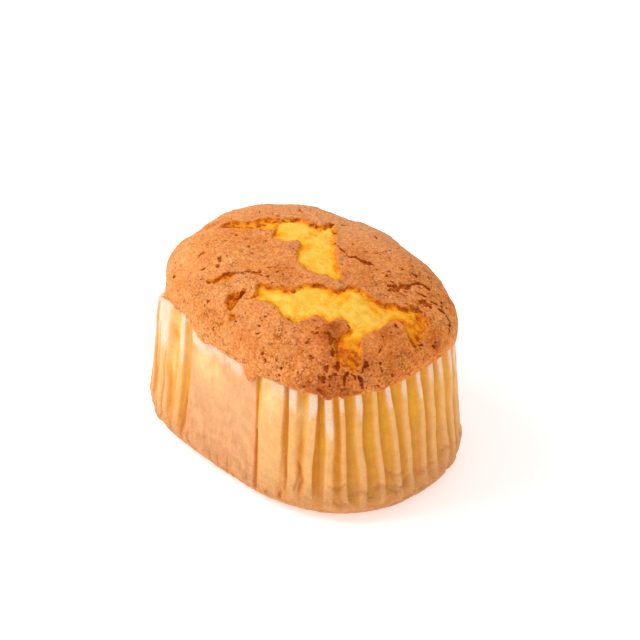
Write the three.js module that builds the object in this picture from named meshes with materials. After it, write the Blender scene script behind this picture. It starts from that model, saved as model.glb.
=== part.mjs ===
// A small oval castella cake baked in a pleated paper case.
//
// Millimetres, +Z up. The origin is the centre of the case's flat base, on the surface that it
// stands on. X runs along the oval, and -Y is the side whose flat panel has the broad folds at +X.
//
// Both solids are stacks of oval rings between two poles. An oval ring is a superellipse,
// |x / halfLength|^n + |y / halfWidth|^n = 1, and an inset makes it smaller by the same amount in
// both directions.

import * as THREE from "three";

// Driving dimensions of the paper case.
const HALF_LENGTH = 40.6;
const HALF_WIDTH = 30;
const CASE_SQUARENESS = 2.53;
const CASE_HEIGHT = 35.1;
const BELLY_HEIGHT = 6;
const FOOT_INSET = 5;
const RIM_INSET = 2.85;
const WALL = 0.45;
const AIR_GAP = 0.35;

// Driving dimensions of the pleats, all measured along the oval at its widest.
const PLEAT_DEPTH = 1.3;
const PLEAT_FADE_START = 1.5;
const PLEAT_FADE_END = 10;
const PANEL_LENGTH = 25.5;
const PANEL_SAG = 0.45;
const PANEL_STEPS = 5;
const PANEL_DEPTH_SHARE = 0.3;
const BROAD_PLEAT = 9;
const REGULAR_PLEATS = 17;

// One pleat as [share of its pitch, share of the pleat depth that it lies inwards].
const REGULAR_PROFILE = [[0, 1], [0.26, 1], [0.46, 0], [0.8, 0]];
const FIRST_BROAD_PROFILE = [[0, 0.9], [0.07, 0.1], [0.45, 0], [0.8, 0.15], [0.94, 0.4]];
const SECOND_BROAD_PROFILE = [[0, 1], [0.08, 0.1], [0.3, 0.7], [0.45, 0.7], [0.65, 0], [0.9, 0]];

// Driving dimensions of the cake.
const CRUST_HALF_LENGTH = 37.4;
const CRUST_HALF_WIDTH = 27.8;
const CRUST_SQUARENESS = 2.43;
const CRUST_SHIFT = new THREE.Vector2(1, 0.8);
const CRUST_EDGE_HEIGHT = 36.4;
const DOME_RISE = 13.4;
const DOME_FULLNESS = 2.4;
const LIP_NECK_SHARE = 0.965;
const LIP_STEPS = 3;
const DOME_STEPS = 17;
const SMOOTH_DOME_STEPS = 3;
const CAKE_POINTS = 84;
const BODY_FOOT_STEPS = 3;
const BODY_TOP_STEPS = 3;

// The split crust: each crack is a chain of [x, y, half width], sunk below the dome.
const CRACK_DEPTH = 1;
const CRACK_SLOPE = 3.2;
const CRACKS = [
  [[-22, 3, 0.6], [-13, 8, 3.2], [-6, 10, 4.5], [1, 4, 4.2], [7, 1, 2]],
  [[1, -12, 1.6], [9, -9, 4], [17, -3, 4.2], [25, 2, 3.6], [31, 5, 2]],
  [[24, -3, 2.2], [27, -10, 2], [29, -14, 0.8]],
  [[-12, -17, 0.4], [-8, -12, 0.9], [-2, -9.5, 0.4]],
];

// Low swellings and hollows of the dome: [x, y, radius, height].
const SWELLINGS = [
  [-34, -5, 6, -1.1],
  [-31, 7, 6, 0.9],
  [0, 25, 9, 0.8],
  [20, 24, 7, -0.7],
  [-18, -13, 12, 0.5],
  [8, -18, 9, 0.5],
  [30, -6, 6, 0.5],
];

const FULL_TURN = 2 * Math.PI;
const LENGTH_SAMPLES = 3600;
const CASE_TOP_STEPS = 3;
const FOOT_STEPS = 4;

// The distance from the axis to a superellipse, in the direction of an angle.
function ovalRadius(halfLength, halfWidth, squareness, angle) {
  const alongX = Math.abs(Math.cos(angle) / halfLength) ** squareness;
  const alongY = Math.abs(Math.sin(angle) / halfWidth) ** squareness;
  return (alongX + alongY) ** (-1 / squareness);
}

// A point of an oval ring of the case.
function casePoint(angle, inset, height) {
  const radius = ovalRadius(HALF_LENGTH - inset, HALF_WIDTH - inset, CASE_SQUARENESS, angle);
  return new THREE.Vector3(radius * Math.cos(angle), radius * Math.sin(angle), height);
}

// The length of the case's widest oval up to each of many angles, from the middle of side -Y.
function measureOval() {
  const lengths = [0];
  let last = casePoint(-Math.PI / 2, 0, 0);
  for (let i = 1; i <= LENGTH_SAMPLES; i += 1) {
    const next = casePoint(-Math.PI / 2 + (i / LENGTH_SAMPLES) * FULL_TURN, 0, 0);
    lengths.push(lengths[i - 1] + next.distanceTo(last));
    last = next;
  }
  return lengths;
}

const OVAL_LENGTHS = measureOval();
const OVAL_LENGTH = OVAL_LENGTHS[LENGTH_SAMPLES];

// The angle at a distance along the widest oval, from the middle of side -Y.
function angleAt(distance) {
  let i = 1;
  while (i < LENGTH_SAMPLES && OVAL_LENGTHS[i] < distance) {
    i += 1;
  }
  const step = OVAL_LENGTHS[i] - OVAL_LENGTHS[i - 1];
  const share = (distance - OVAL_LENGTHS[i - 1]) / step;
  return -Math.PI / 2 + ((i - 1 + share) / LENGTH_SAMPLES) * FULL_TURN;
}

// The stations of one long side and the round end after it: a flat panel, two broad pleats and
// the regular ones. Each is {distance, depth, sag}.
function halfStations(start) {
  const stations = [];
  for (let i = 0; i < PANEL_STEPS; i += 1) {
    const share = (i + 0.5) / PANEL_STEPS;
    const sag = PANEL_SAG * 4 * share * (1 - share);
    stations.push({ distance: start + share * PANEL_LENGTH, depth: PANEL_DEPTH_SHARE, sag });
  }
  let from = start + PANEL_LENGTH;
  const addPleat = (profile, pitch) => {
    for (const [share, depth] of profile) {
      stations.push({ distance: from + share * pitch, depth, sag: 0 });
    }
    from += pitch;
  };
  addPleat(FIRST_BROAD_PROFILE, BROAD_PLEAT);
  addPleat(SECOND_BROAD_PROFILE, BROAD_PLEAT);
  const pitch = (OVAL_LENGTH / 2 - PANEL_LENGTH - 2 * BROAD_PLEAT) / REGULAR_PLEATS;
  for (let i = 0; i < REGULAR_PLEATS; i += 1) {
    addPleat(REGULAR_PROFILE, pitch);
  }
  return stations;
}

// All stations round the case. The second half is the first one turned by half a turn.
function caseStations() {
  const first = halfStations(-PANEL_LENGTH / 2);
  const second = halfStations(OVAL_LENGTH / 2 - PANEL_LENGTH / 2);
  return [...first, ...second].map(({ distance, depth, sag }) => {
    const wrapped = (distance + OVAL_LENGTH) % OVAL_LENGTH;
    return { angle: angleAt(wrapped), depth, sag };
  });
}

// How deep the pleats are at a height: nothing at the foot and full from the belly upwards.
function pleatDepthAt(height) {
  return PLEAT_DEPTH * THREE.MathUtils.smoothstep(height, PLEAT_FADE_START, PLEAT_FADE_END);
}

// The case's side as [inset, height] from the base to the rim, moved inwards by an offset: a
// quarter of an ellipse for the rounded foot, then a straight slope to the rim.
function sideProfile(offset, footSteps, topSteps) {
  const profile = [];
  for (let i = 0; i <= footSteps; i += 1) {
    const turn = (i / footSteps) * (Math.PI / 2);
    const inset = FOOT_INSET - (FOOT_INSET - offset) * Math.sin(turn);
    profile.push([inset, BELLY_HEIGHT - (BELLY_HEIGHT - offset) * Math.cos(turn)]);
  }
  for (let i = 1; i <= topSteps; i += 1) {
    const share = i / topSteps;
    const height = THREE.MathUtils.lerp(BELLY_HEIGHT, CASE_HEIGHT, share);
    profile.push([offset + RIM_INSET * share, height]);
  }
  return profile;
}

// One ring of the case's wall.
function caseRing(stations, inset, height) {
  const depth = pleatDepthAt(height);
  return stations.map((station) => {
    const inwards = inset + depth * station.depth + station.sag;
    return casePoint(station.angle, inwards, height);
  });
}

// A closed body from a bottom pole, rings that run anticlockwise seen from above, and a last pole.
function closedBody(firstPole, rings, lastPole) {
  const count = rings[0].length;
  const points = [firstPole, ...rings.flat(), lastPole];
  const lastIndex = points.length - 1;
  const at = (ring, i) => 1 + ring * count + (i % count);
  const triangles = [];
  for (let i = 0; i < count; i += 1) {
    triangles.push(0, at(0, i + 1), at(0, i));
    triangles.push(lastIndex, at(rings.length - 1, i), at(rings.length - 1, i + 1));
  }
  for (let ring = 0; ring + 1 < rings.length; ring += 1) {
    for (let i = 0; i < count; i += 1) {
      triangles.push(at(ring, i), at(ring, i + 1), at(ring + 1, i + 1));
      triangles.push(at(ring, i), at(ring + 1, i + 1), at(ring + 1, i));
    }
  }
  const geometry = new THREE.BufferGeometry().setFromPoints(points);
  geometry.setIndex(triangles);
  geometry.computeVertexNormals();
  return geometry;
}

// The pleated paper case: up the outside, over the rim and down the inside.
function paperCaseGeometry() {
  const stations = caseStations();
  const outside = sideProfile(0, FOOT_STEPS, CASE_TOP_STEPS);
  const inside = sideProfile(WALL, FOOT_STEPS, CASE_TOP_STEPS).reverse();
  const rings = [...outside, ...inside].map(([inset, height]) => caseRing(stations, inset, height));
  return closedBody(new THREE.Vector3(0, 0, 0), rings, new THREE.Vector3(0, 0, WALL));
}

// The distance from a point to a piece of a crack, less the crack's half width there.
function distanceToCrackPiece(x, y, [x0, y0, width0], [x1, y1, width1]) {
  const lengthSquared = (x1 - x0) ** 2 + (y1 - y0) ** 2;
  const along = ((x - x0) * (x1 - x0) + (y - y0) * (y1 - y0)) / lengthSquared;
  const share = THREE.MathUtils.clamp(along, 0, 1);
  const sideways = Math.hypot(x - x0 - share * (x1 - x0), y - y0 - share * (y1 - y0));
  return sideways - THREE.MathUtils.lerp(width0, width1, share);
}

// How far the dome's surface is moved up or down at a point by swellings and cracks.
function domeRelief(x, y) {
  let relief = 0;
  for (const [centreX, centreY, radius, height] of SWELLINGS) {
    relief += height * Math.exp(-((x - centreX) ** 2 + (y - centreY) ** 2) / radius ** 2);
  }
  let nearest = Infinity;
  for (const crack of CRACKS) {
    for (let i = 0; i + 1 < crack.length; i += 1) {
      nearest = Math.min(nearest, distanceToCrackPiece(x, y, crack[i], crack[i + 1]));
    }
  }
  const inside = 1 - THREE.MathUtils.smoothstep(nearest, -CRACK_SLOPE / 2, CRACK_SLOPE / 2);
  return relief - CRACK_DEPTH * inside;
}

// One ring of the crust. The share is its size against the crust's widest oval.
function crustRing(share, height, reliefShare) {
  const ring = [];
  for (let i = 0; i < CAKE_POINTS; i += 1) {
    const angle = (i / CAKE_POINTS) * FULL_TURN;
    const oval = ovalRadius(CRUST_HALF_LENGTH, CRUST_HALF_WIDTH, CRUST_SQUARENESS, angle);
    const x = CRUST_SHIFT.x + share * oval * Math.cos(angle);
    const y = CRUST_SHIFT.y + share * oval * Math.sin(angle);
    ring.push(new THREE.Vector3(x, y, height + reliefShare * domeRelief(x, y)));
  }
  return ring;
}

// The dome's height above its edge, at a share of the widest oval.
function domeHeight(share) {
  return DOME_RISE * (1 - share ** DOME_FULLNESS) ** (1 / DOME_FULLNESS);
}

// The rings of the cake inside the case, at even angles and clear of the deepest pleats. The foot
// has no pleats, so it is let down by their depth.
function bodyRings() {
  const clearance = WALL + AIR_GAP + PLEAT_DEPTH;
  return sideProfile(clearance, BODY_FOOT_STEPS, BODY_TOP_STEPS).map(([inset, height]) => {
    const z = height < BELLY_HEIGHT ? height - PLEAT_DEPTH : height;
    const ring = [];
    for (let i = 0; i < CAKE_POINTS; i += 1) {
      ring.push(casePoint((i / CAKE_POINTS) * FULL_TURN, inset + PANEL_SAG, z));
    }
    return ring;
  });
}

// The rings of the lip that rolls out over the rim, from under it up to the crust's widest oval.
function lipRings() {
  const underside = CASE_HEIGHT + AIR_GAP;
  const rings = [];
  for (let i = 0; i < LIP_STEPS; i += 1) {
    const turn = (i / LIP_STEPS) * (Math.PI / 2);
    const share = THREE.MathUtils.lerp(LIP_NECK_SHARE, 1, Math.sin(turn));
    const height = CRUST_EDGE_HEIGHT - (CRUST_EDGE_HEIGHT - underside) * Math.cos(turn);
    rings.push(crustRing(share, height, 0));
  }
  return rings;
}

// The rings of the dome, from the crust's widest oval almost to its middle.
function domeRings() {
  const rings = [];
  for (let i = 0; i < DOME_STEPS; i += 1) {
    const share = Math.cos((i / DOME_STEPS) * (Math.PI / 2));
    const reliefShare = THREE.MathUtils.smoothstep(i, 0, SMOOTH_DOME_STEPS);
    rings.push(crustRing(share, CRUST_EDGE_HEIGHT + domeHeight(share), reliefShare));
  }
  return rings;
}

// The cake: one solid body with its base in the case and its crust over the rim.
function cakeGeometry() {
  const rings = [...bodyRings(), ...lipRings(), ...domeRings()];
  const top = CRUST_EDGE_HEIGHT + DOME_RISE + domeRelief(CRUST_SHIFT.x, CRUST_SHIFT.y);
  const topPole = new THREE.Vector3(CRUST_SHIFT.x, CRUST_SHIFT.y, top);
  return closedBody(new THREE.Vector3(0, 0, WALL + AIR_GAP), rings, topPole);
}

// A mesh with its node's name and its own material.
function namedMesh(name, geometry, colour, roughness) {
  const material = new THREE.MeshStandardMaterial({ color: colour, roughness, metalness: 0 });
  const mesh = new THREE.Mesh(geometry, material);
  mesh.name = name;
  return mesh;
}

const group = new THREE.Group();
group.add(namedMesh("cake", cakeGeometry(), 0xd9823f, 0.8));
group.add(namedMesh("paper_case", paperCaseGeometry(), 0xf3b983, 0.6));

export default group;
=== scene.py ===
"""A small castella in its pleated paper case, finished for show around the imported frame.

Shapes are worked out in millimetres, in the frame's own axes (X along the oval, +Z up, the shown
flat side towards -Y), and become metres only when a mesh is written. A length whose unit isn't
given is in millimetres. Distances "round the case" run along its widest oval, from the +X tip,
positive towards +Y.
"""

import logging
import math
from dataclasses import dataclass, field, replace
from enum import Enum
from functools import cached_property

import bpy
import numpy as np
from mathutils import Matrix, Vector


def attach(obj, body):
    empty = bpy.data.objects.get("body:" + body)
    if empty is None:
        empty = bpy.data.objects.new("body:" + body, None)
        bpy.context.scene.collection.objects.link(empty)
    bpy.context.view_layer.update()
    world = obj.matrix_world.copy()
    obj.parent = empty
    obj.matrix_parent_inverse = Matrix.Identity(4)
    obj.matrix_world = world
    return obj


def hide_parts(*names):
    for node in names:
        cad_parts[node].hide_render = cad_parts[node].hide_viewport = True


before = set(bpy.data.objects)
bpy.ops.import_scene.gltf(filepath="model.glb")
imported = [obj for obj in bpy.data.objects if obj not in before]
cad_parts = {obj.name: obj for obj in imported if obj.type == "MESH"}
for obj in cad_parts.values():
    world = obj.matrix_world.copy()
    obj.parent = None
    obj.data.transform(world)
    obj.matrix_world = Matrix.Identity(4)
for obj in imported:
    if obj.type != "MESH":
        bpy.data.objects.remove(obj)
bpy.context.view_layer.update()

Array = np.ndarray
Triple = tuple[float, float, float]
Colour = Triple
Chain = tuple[Triple, ...]  # strokes: each point's x, y and half width

log = logging.getLogger("castella")

METRES = 0.001


# ---- Plain mathematics on whole arrays ----


def smoothstep(low: float, high: float, value: Array) -> Array:
    """0 at low, 1 at high, and 3t^2 - 2t^3 of the share t of the way, with high above or below."""
    t = np.clip((value - low) / (high - low), 0.0, 1.0)
    return t * t * (3.0 - 2.0 * t)


def bell(distance: Array, width: float) -> Array:
    """exp(-(distance / width)^2): 1 in the middle and fading to both sides."""
    return np.exp(-((distance / width) ** 2))


def linear(*shown: int) -> Colour:
    """A colour shown on a screen, as three numbers up to 255, in a shader's linear light."""
    shares = (value / 255.0 for value in shown)
    return tuple(s / 12.92 if s <= 0.04045 else ((s + 0.055) / 1.055) ** 2.4 for s in shares)


@dataclass(frozen=True)
class SmoothNoise:
    """Seeded smooth noise in space: random numbers on a cubic lattice, blended in between."""

    seed: int
    size: int = 32
    layer_shift: float = 7.3

    @cached_property
    def lattice(self) -> Array:
        """The random numbers, between -1 and 1, at the lattice's corners."""
        return np.random.default_rng(self.seed).uniform(-1.0, 1.0, (self.size,) * 3)

    def one_layer(self, points: Array) -> Array:
        """Blends the eight corners round each point by t^3 (6t^2 - 15t + 10) of each share.

        Args:
            points: places in lattice steps, shape (..., 3).

        Returns:
            The noise at each place, between -1 and 1.
        """
        low = np.floor(points).astype(int)
        t = points - low
        t = t * t * t * (t * (t * 6.0 - 15.0) + 10.0)
        total = np.zeros(points.shape[:-1])
        for corner in np.ndindex(2, 2, 2):
            index = (low + corner) % self.size
            weight = np.prod(np.where(np.array(corner) == 1, t, 1.0 - t), axis=-1)
            total += weight * self.lattice[index[..., 0], index[..., 1], index[..., 2]]
        return total

    def layered(self, points: Array, wavelength: float, layers: int, gain: float = 0.5) -> Array:
        """Adds layers, each at half the last one's wavelength and gain times its strength.

        Each layer's lattice is turned and shifted, so that the layers don't line up.

        Args:
            points: places, shape (..., 3).
            wavelength: the first layer's lattice step.
            layers: how many layers.
            gain: the strength of a layer against the one before it.

        Returns:
            The noise at each place, about -1 to 1.
        """
        turn = np.array([[0.80, 0.60, 0.0], [-0.48, 0.64, 0.60], [0.36, -0.48, 0.80]])
        total = np.zeros(points.shape[:-1])
        strength = 1.0
        scaled = points / wavelength
        for layer in range(layers):
            total += strength * self.one_layer(scaled + self.layer_shift * layer)
            scaled = (scaled @ turn) * 2.0
            strength *= gain
        return total


@dataclass(frozen=True)
class Oval:
    """A superellipse: |x / half_length|^n + |y / half_width|^n = 1, where n is the squareness."""

    half_length: float
    half_width: float
    squareness: float
    centre: tuple[float, float] = (0.0, 0.0)

    def radius(self, angle: Array, inset: Array | float = 0.0) -> Array:
        """The distance from the centre to the outline of the oval made smaller by an inset.

        It is (|cos / half_length|^n + |sin / half_width|^n)^(-1 / n).

        Args:
            angle: angles in radians from +X towards +Y.
            inset: how much shorter the half length and the half width are.

        Returns:
            The distance at each angle.
        """
        along_x = np.abs(np.cos(angle)) / (self.half_length - inset)
        along_y = np.abs(np.sin(angle)) / (self.half_width - inset)
        return (along_x**self.squareness + along_y**self.squareness) ** (-1.0 / self.squareness)

    def plan(
        self, angle: Array, inset: Array | float = 0.0, share: Array | float = 1.0
    ) -> tuple[Array, Array]:
        """The place of a point at an angle, on the oval made smaller by an inset or a share.

        Args:
            angle: angles in radians from +X towards +Y.
            inset: how much shorter the half length and the half width are.
            share: what the distance from the centre is then multiplied by.

        Returns:
            The x and the y of each point.
        """
        distance = share * self.radius(angle, inset)
        return (
            self.centre[0] + distance * np.cos(angle),
            self.centre[1] + distance * np.sin(angle),
        )

    @cached_property
    def length_table(self) -> tuple[Array, Array]:
        """Angles and lengths round the outline, added up over short straight steps.

        Returns:
            Angles from -pi to pi, and the distance along the outline from the +X tip to each.
        """
        angles = np.linspace(-math.pi, math.pi, 7201)
        x, y = self.plan(angles)
        steps = np.hypot(np.diff(x), np.diff(y))
        lengths = np.concatenate([[0.0], np.cumsum(steps)])
        return angles, lengths - lengths[-1] / 2

    @property
    def perimeter(self) -> float:
        """The whole length of the outline."""
        return float(2 * self.length_table[1][-1])

    def angle_at(self, distance: Array) -> Array:
        """The angle at a distance round the oval from the +X tip."""
        angles, lengths = self.length_table
        return np.interp(distance, lengths, angles)

    def distance_at(self, angle: Array) -> Array:
        """The distance round the oval from the +X tip at an angle from -pi to pi."""
        angles, lengths = self.length_table
        return np.interp(angle, angles, lengths)


def depth_inside(x: Array, y: Array, outline: Array) -> Array:
    """The distance to a closed outline, positive inside it and negative outside.

    The distance is the least one to any straight side. A point is inside if a line from it towards
    +X crosses an odd number of sides.

    Args:
        x: places across, shape (n,).
        y: places along, shape (n,).
        outline: the corners in order, shape (k, 2).

    Returns:
        The signed distance of each point, shape (n,).
    """
    start, end = outline, np.roll(outline, -1, axis=0)
    side = end - start
    dx = x[:, None] - start[None, :, 0]
    dy = y[:, None] - start[None, :, 1]
    share = (dx * side[:, 0] + dy * side[:, 1]) / (side**2).sum(axis=1)
    share = np.clip(share, 0.0, 1.0)
    distance = np.hypot(dx - share * side[:, 0], dy - share * side[:, 1]).min(axis=1)
    spans = (start[:, 1] > y[:, None]) != (end[:, 1] > y[:, None])
    height = np.where(side[:, 1] == 0.0, 1.0, side[:, 1])
    crossings = spans & (dx < side[:, 0] * dy / height)
    return np.where(crossings.sum(axis=1) % 2 == 1, distance, -distance)


def depth_in_chain(x: Array, y: Array, chain: Array) -> Array:
    """How far inside a chain of tapering strokes each point is: half width less distance.

    Args:
        x: places across, shape (n,).
        y: places along, shape (n,).
        chain: the chain's points as x, y and half width, shape (k, 3).

    Returns:
        The signed depth of each point, positive inside the strokes, shape (n,).
    """
    start, side = chain[:-1], np.diff(chain, axis=0)
    dx = x[:, None] - start[None, :, 0]
    dy = y[:, None] - start[None, :, 1]
    share = (dx * side[:, 0] + dy * side[:, 1]) / (side[:, :2] ** 2).sum(axis=1)
    share = np.clip(share, 0.0, 1.0)
    distance = np.hypot(dx - share * side[:, 0], dy - share * side[:, 1])
    return (start[:, 2] + share * side[:, 2] - distance).max(axis=1)


def share_in_chains(
    x: Array,
    y: Array,
    chains: tuple[Chain, ...],
    low: float,
    high: float,
    shift: Array | float = 0.0,
) -> Array:
    """How far each point is in any of some chains: the greatest smoothstep of its depths.

    Args:
        x: places across, shape (n,).
        y: places along, shape (n,).
        chains: the chains.
        low: the depth at which a chain's mark starts.
        high: the depth at which it is full.
        shift: what is added to each depth, to make the edges ragged.

    Returns:
        0 away from the chains and 1 well inside one, shape (n,).
    """
    found = np.zeros_like(x)
    for chain in chains:
        depth = depth_in_chain(x, y, np.array(chain)) + shift
        found = np.maximum(found, smoothstep(low, high, depth))
    return found


@dataclass(frozen=True)
class PitField:
    """Small round pits, at most one in each cell of a cubic lattice, at seeded random places."""

    seed: int
    spacing: float
    smallest: float
    largest: float
    size: int = 24

    @cached_property
    def cells(self) -> Array:
        """Each cell's pit: its place in the cell (3 numbers), its rank and its size share."""
        return np.random.default_rng(self.seed).uniform(0.0, 1.0, (self.size,) * 3 + (5,))

    def depth(self, points: Array, share: Array) -> Array:
        """How deep in a pit each point is: (1 - (distance / radius)^2)^2 of the deepest pit there.

        Args:
            points: places, shape (n, 3).
            share: the share of the cells near each point that hold a pit, shape (n,).

        Returns:
            0 outside the pits and 1 at a pit's middle, shape (n,).
        """
        scaled = points / self.spacing
        base = np.floor(scaled).astype(int)
        deepest = np.zeros(len(points))
        for step in np.ndindex(3, 3, 3):
            cell = base + np.array(step) - 1
            index = cell % self.size
            made = self.cells[index[:, 0], index[:, 1], index[:, 2]]
            away = (scaled - cell - made[:, :3]) * self.spacing
            radius = self.smallest + (self.largest - self.smallest) * made[:, 4] ** 2
            near = np.clip(1.0 - (away**2).sum(axis=1) / radius**2, 0.0, 1.0) ** 2
            deepest = np.maximum(deepest, np.where(made[:, 3] < share, near, 0.0))
        return deepest


# ---- Meshes ----


@dataclass
class Surface:
    """Corner places in millimetres, faces as corner numbers, and named numbers at the corners."""

    points: Array
    quads: Array
    triangles: Array
    numbers: dict[str, Array] = field(default_factory=dict)

    def to_object(self, name: str, material: bpy.types.Material) -> bpy.types.Object:
        """Writes the surface into a new smooth-shaded mesh object at the origin.

        Args:
            name: the object's name.
            material: its finish.

        Returns:
            The object, linked to the scene.
        """
        mesh = bpy.data.meshes.new(name)
        corners = np.concatenate([self.quads.ravel(), self.triangles.ravel()])
        sizes = np.concatenate([np.full(len(self.quads), 4), np.full(len(self.triangles), 3)])
        starts = np.concatenate([[0], np.cumsum(sizes)[:-1]])
        mesh.vertices.add(len(self.points))
        mesh.vertices.foreach_set("co", (self.points * METRES).astype(np.float32).ravel())
        mesh.loops.add(len(corners))
        mesh.loops.foreach_set("vertex_index", corners.astype(np.int32))
        mesh.polygons.add(len(sizes))
        mesh.polygons.foreach_set("loop_start", starts.astype(np.int32))
        mesh.polygons.foreach_set("use_smooth", np.ones(len(sizes), dtype=bool))
        mesh.update(calc_edges=True)
        mesh.validate()
        for key, values in self.numbers.items():
            layer = mesh.attributes.new(key, "FLOAT", "POINT")
            layer.data.foreach_set("value", values.astype(np.float32))
        mesh.materials.append(material)
        piece = bpy.data.objects.new(name, mesh)
        bpy.context.scene.collection.objects.link(piece)
        return piece


def ring_quads(upper: Array, lower: Array) -> Array:
    """The outward quads between two rings of corners, each anticlockwise seen from above."""
    return np.stack([upper, lower, np.roll(lower, -1), np.roll(upper, -1)], axis=1)


# ---- Shader nodes ----

Socket = bpy.types.NodeSocket
Feed = Socket | float | tuple
MIX_COLOURS = (6, 7)  # where a Mix node has its two colour inputs
MIX_RESULT = 2  # and where it has its colour output


def per_metre(wavelength: float) -> float:
    """The texture scale that gives a pattern of a wavelength in millimetres."""
    return 1.0 / (wavelength * METRES)


class Graph:
    """A node tree, with short ways of adding nodes and joining them."""

    def __init__(self, tree: bpy.types.NodeTree) -> None:
        """Takes the tree that nodes are added to."""
        self.tree = tree

    def add(self, kind: str, *feeds: Feed, **settings: object) -> bpy.types.Node:
        """Adds a node.

        Args:
            kind: the node's type.
            feeds: what its first inputs get, in order.
            settings: its settings by name.

        Returns:
            The node.
        """
        node = self.tree.nodes.new(kind)
        for key, value in settings.items():
            setattr(node, key, value)
        for target, source in zip(node.inputs, feeds):
            self.feed(target, source)
        return node

    def feed(self, target: Socket, source: Feed) -> None:
        """Joins an input to an output, or sets the input's own value.

        Args:
            target: the input.
            source: the output, or the value. A colour has three numbers.
        """
        if isinstance(source, bpy.types.NodeSocket):
            self.tree.links.new(source, target)
        elif isinstance(source, tuple) and len(source) == 3 and target.type == "RGBA":
            target.default_value = (*source, 1.0)
        else:
            target.default_value = source

    def math(self, operation: str, *values: Feed, clamp: bool = False) -> Socket:
        """Adds a Math node on one to three values."""
        return self.add("ShaderNodeMath", *values, operation=operation, use_clamp=clamp).outputs[0]

    def remap(
        self, value: Feed, low: Feed, high: Feed, to_low: Feed = 0.0, to_high: Feed = 1.0
    ) -> Socket:
        """Adds a Map Range node that goes from to_low to to_high by 3t^2 - 2t^3."""
        feeds = (value, low, high, to_low, to_high)
        return self.add("ShaderNodeMapRange", *feeds, interpolation_type="SMOOTHSTEP").outputs[0]

    def blend(self, factor: Feed, first: Feed, second: Feed, kind: str = "MIX") -> Socket:
        """Adds a Mix node on two colours.

        Args:
            factor: how much of the second colour there is, 0 to 1.
            first: the colour at factor 0.
            second: the colour at factor 1, or what the first is multiplied by there.
            kind: "MIX" or "MULTIPLY".

        Returns:
            The mixed colour.
        """
        node = self.add("ShaderNodeMix", factor, data_type="RGBA", blend_type=kind)
        for place, colour in zip(MIX_COLOURS, (first, second)):
            self.feed(node.inputs[place], colour)
        return node.outputs[MIX_RESULT]

    def ramp(self, value: Feed, stops: tuple[tuple[float, Colour], ...]) -> Socket:
        """Adds a Color Ramp node.

        Args:
            value: what is measured.
            stops: each stop's place and colour, in order.

        Returns:
            The colour.
        """
        node = self.add("ShaderNodeValToRGB", value)
        elements = node.color_ramp.elements
        while len(elements) < len(stops):
            elements.new(1.0)
        for element, (place, colour) in zip(elements, stops):
            element.position = place
            element.color = (*colour, 1.0)
        return node.outputs[0]

    def warp(self, vector: Socket, scale: Feed, reach: Feed) -> Socket:
        """Moves a place about by noise, by up to half the reach each way.

        Args:
            vector: the place.
            scale: the noise's scale.
            reach: the reach in metres.

        Returns:
            The moved place.
        """
        wobble = self.add("ShaderNodeTexNoise", vector, noise_dimensions="3D")
        self.feed(wobble.inputs["Scale"], scale)
        wobble.inputs["Detail"].default_value = 2.0
        feeds = (wobble.outputs["Color"], (0.5, 0.5, 0.5))
        centred = self.add("ShaderNodeVectorMath", *feeds, operation="SUBTRACT")
        moved = self.add("ShaderNodeVectorMath", centred.outputs[0], operation="SCALE")
        self.feed(moved.inputs["Scale"], reach)
        shifted = self.add("ShaderNodeVectorMath", vector, moved.outputs[0], operation="ADD")
        return shifted.outputs[0]

    def attribute(self, name: str) -> Socket:
        """Reads a named number of the mesh."""
        return self.add("ShaderNodeAttribute", attribute_name=name).outputs["Fac"]

    def feed_all(self, node: bpy.types.Node, inputs: dict[str, Feed]) -> Socket:
        """Feeds some inputs of a node.

        Args:
            node: the node.
            inputs: what its named inputs get. A plain value is set on the input itself.

        Returns:
            The node's first output.
        """
        for key, value in inputs.items():
            self.feed(node.inputs[key], value)
        return node.outputs[0]


def new_group(
    name: str, numbers: dict[str, float], output: str
) -> tuple[Graph, bpy.types.Node, bpy.types.Node]:
    """Starts a shader node group with Vector and Scale inputs and some more.

    Args:
        name: the group's name.
        numbers: each further input's name and its value at first.
        output: the name of the output.

    Returns:
        The group's graph, its input node and its output node.
    """
    tree = bpy.data.node_groups.new(name, "ShaderNodeTree")
    tree.interface.new_socket("Vector", in_out="INPUT", socket_type="NodeSocketVector")
    for key, value in {"Scale": per_metre(1.0), **numbers}.items():
        socket = tree.interface.new_socket(key, in_out="INPUT", socket_type="NodeSocketFloat")
        socket.default_value = value
    tree.interface.new_socket(output, in_out="OUTPUT", socket_type="NodeSocketFloat")
    graph = Graph(tree)
    return graph, graph.add("NodeGroupInput"), graph.add("NodeGroupOutput")


def make_mottle_group() -> bpy.types.NodeTree:
    """Soft patches: layered noise of a wavelength, stretched to run from 0 to 1.

    Returns:
        The group, with Vector, Scale, Detail and Contrast in, and Value out.
    """
    graph, source, result = new_group("Mottle", {"Detail": 3.0, "Contrast": 0.2}, "Value")
    noise = graph.add("ShaderNodeTexNoise", noise_dimensions="3D")
    graph.feed_all(noise, {key: source.outputs[key] for key in ("Vector", "Scale", "Detail")})
    low = graph.math("SUBTRACT", 0.5, source.outputs["Contrast"])
    high = graph.math("ADD", 0.5, source.outputs["Contrast"])
    graph.feed(result.inputs["Value"], graph.remap(noise.outputs["Fac"], low, high))
    return graph.tree


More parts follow.
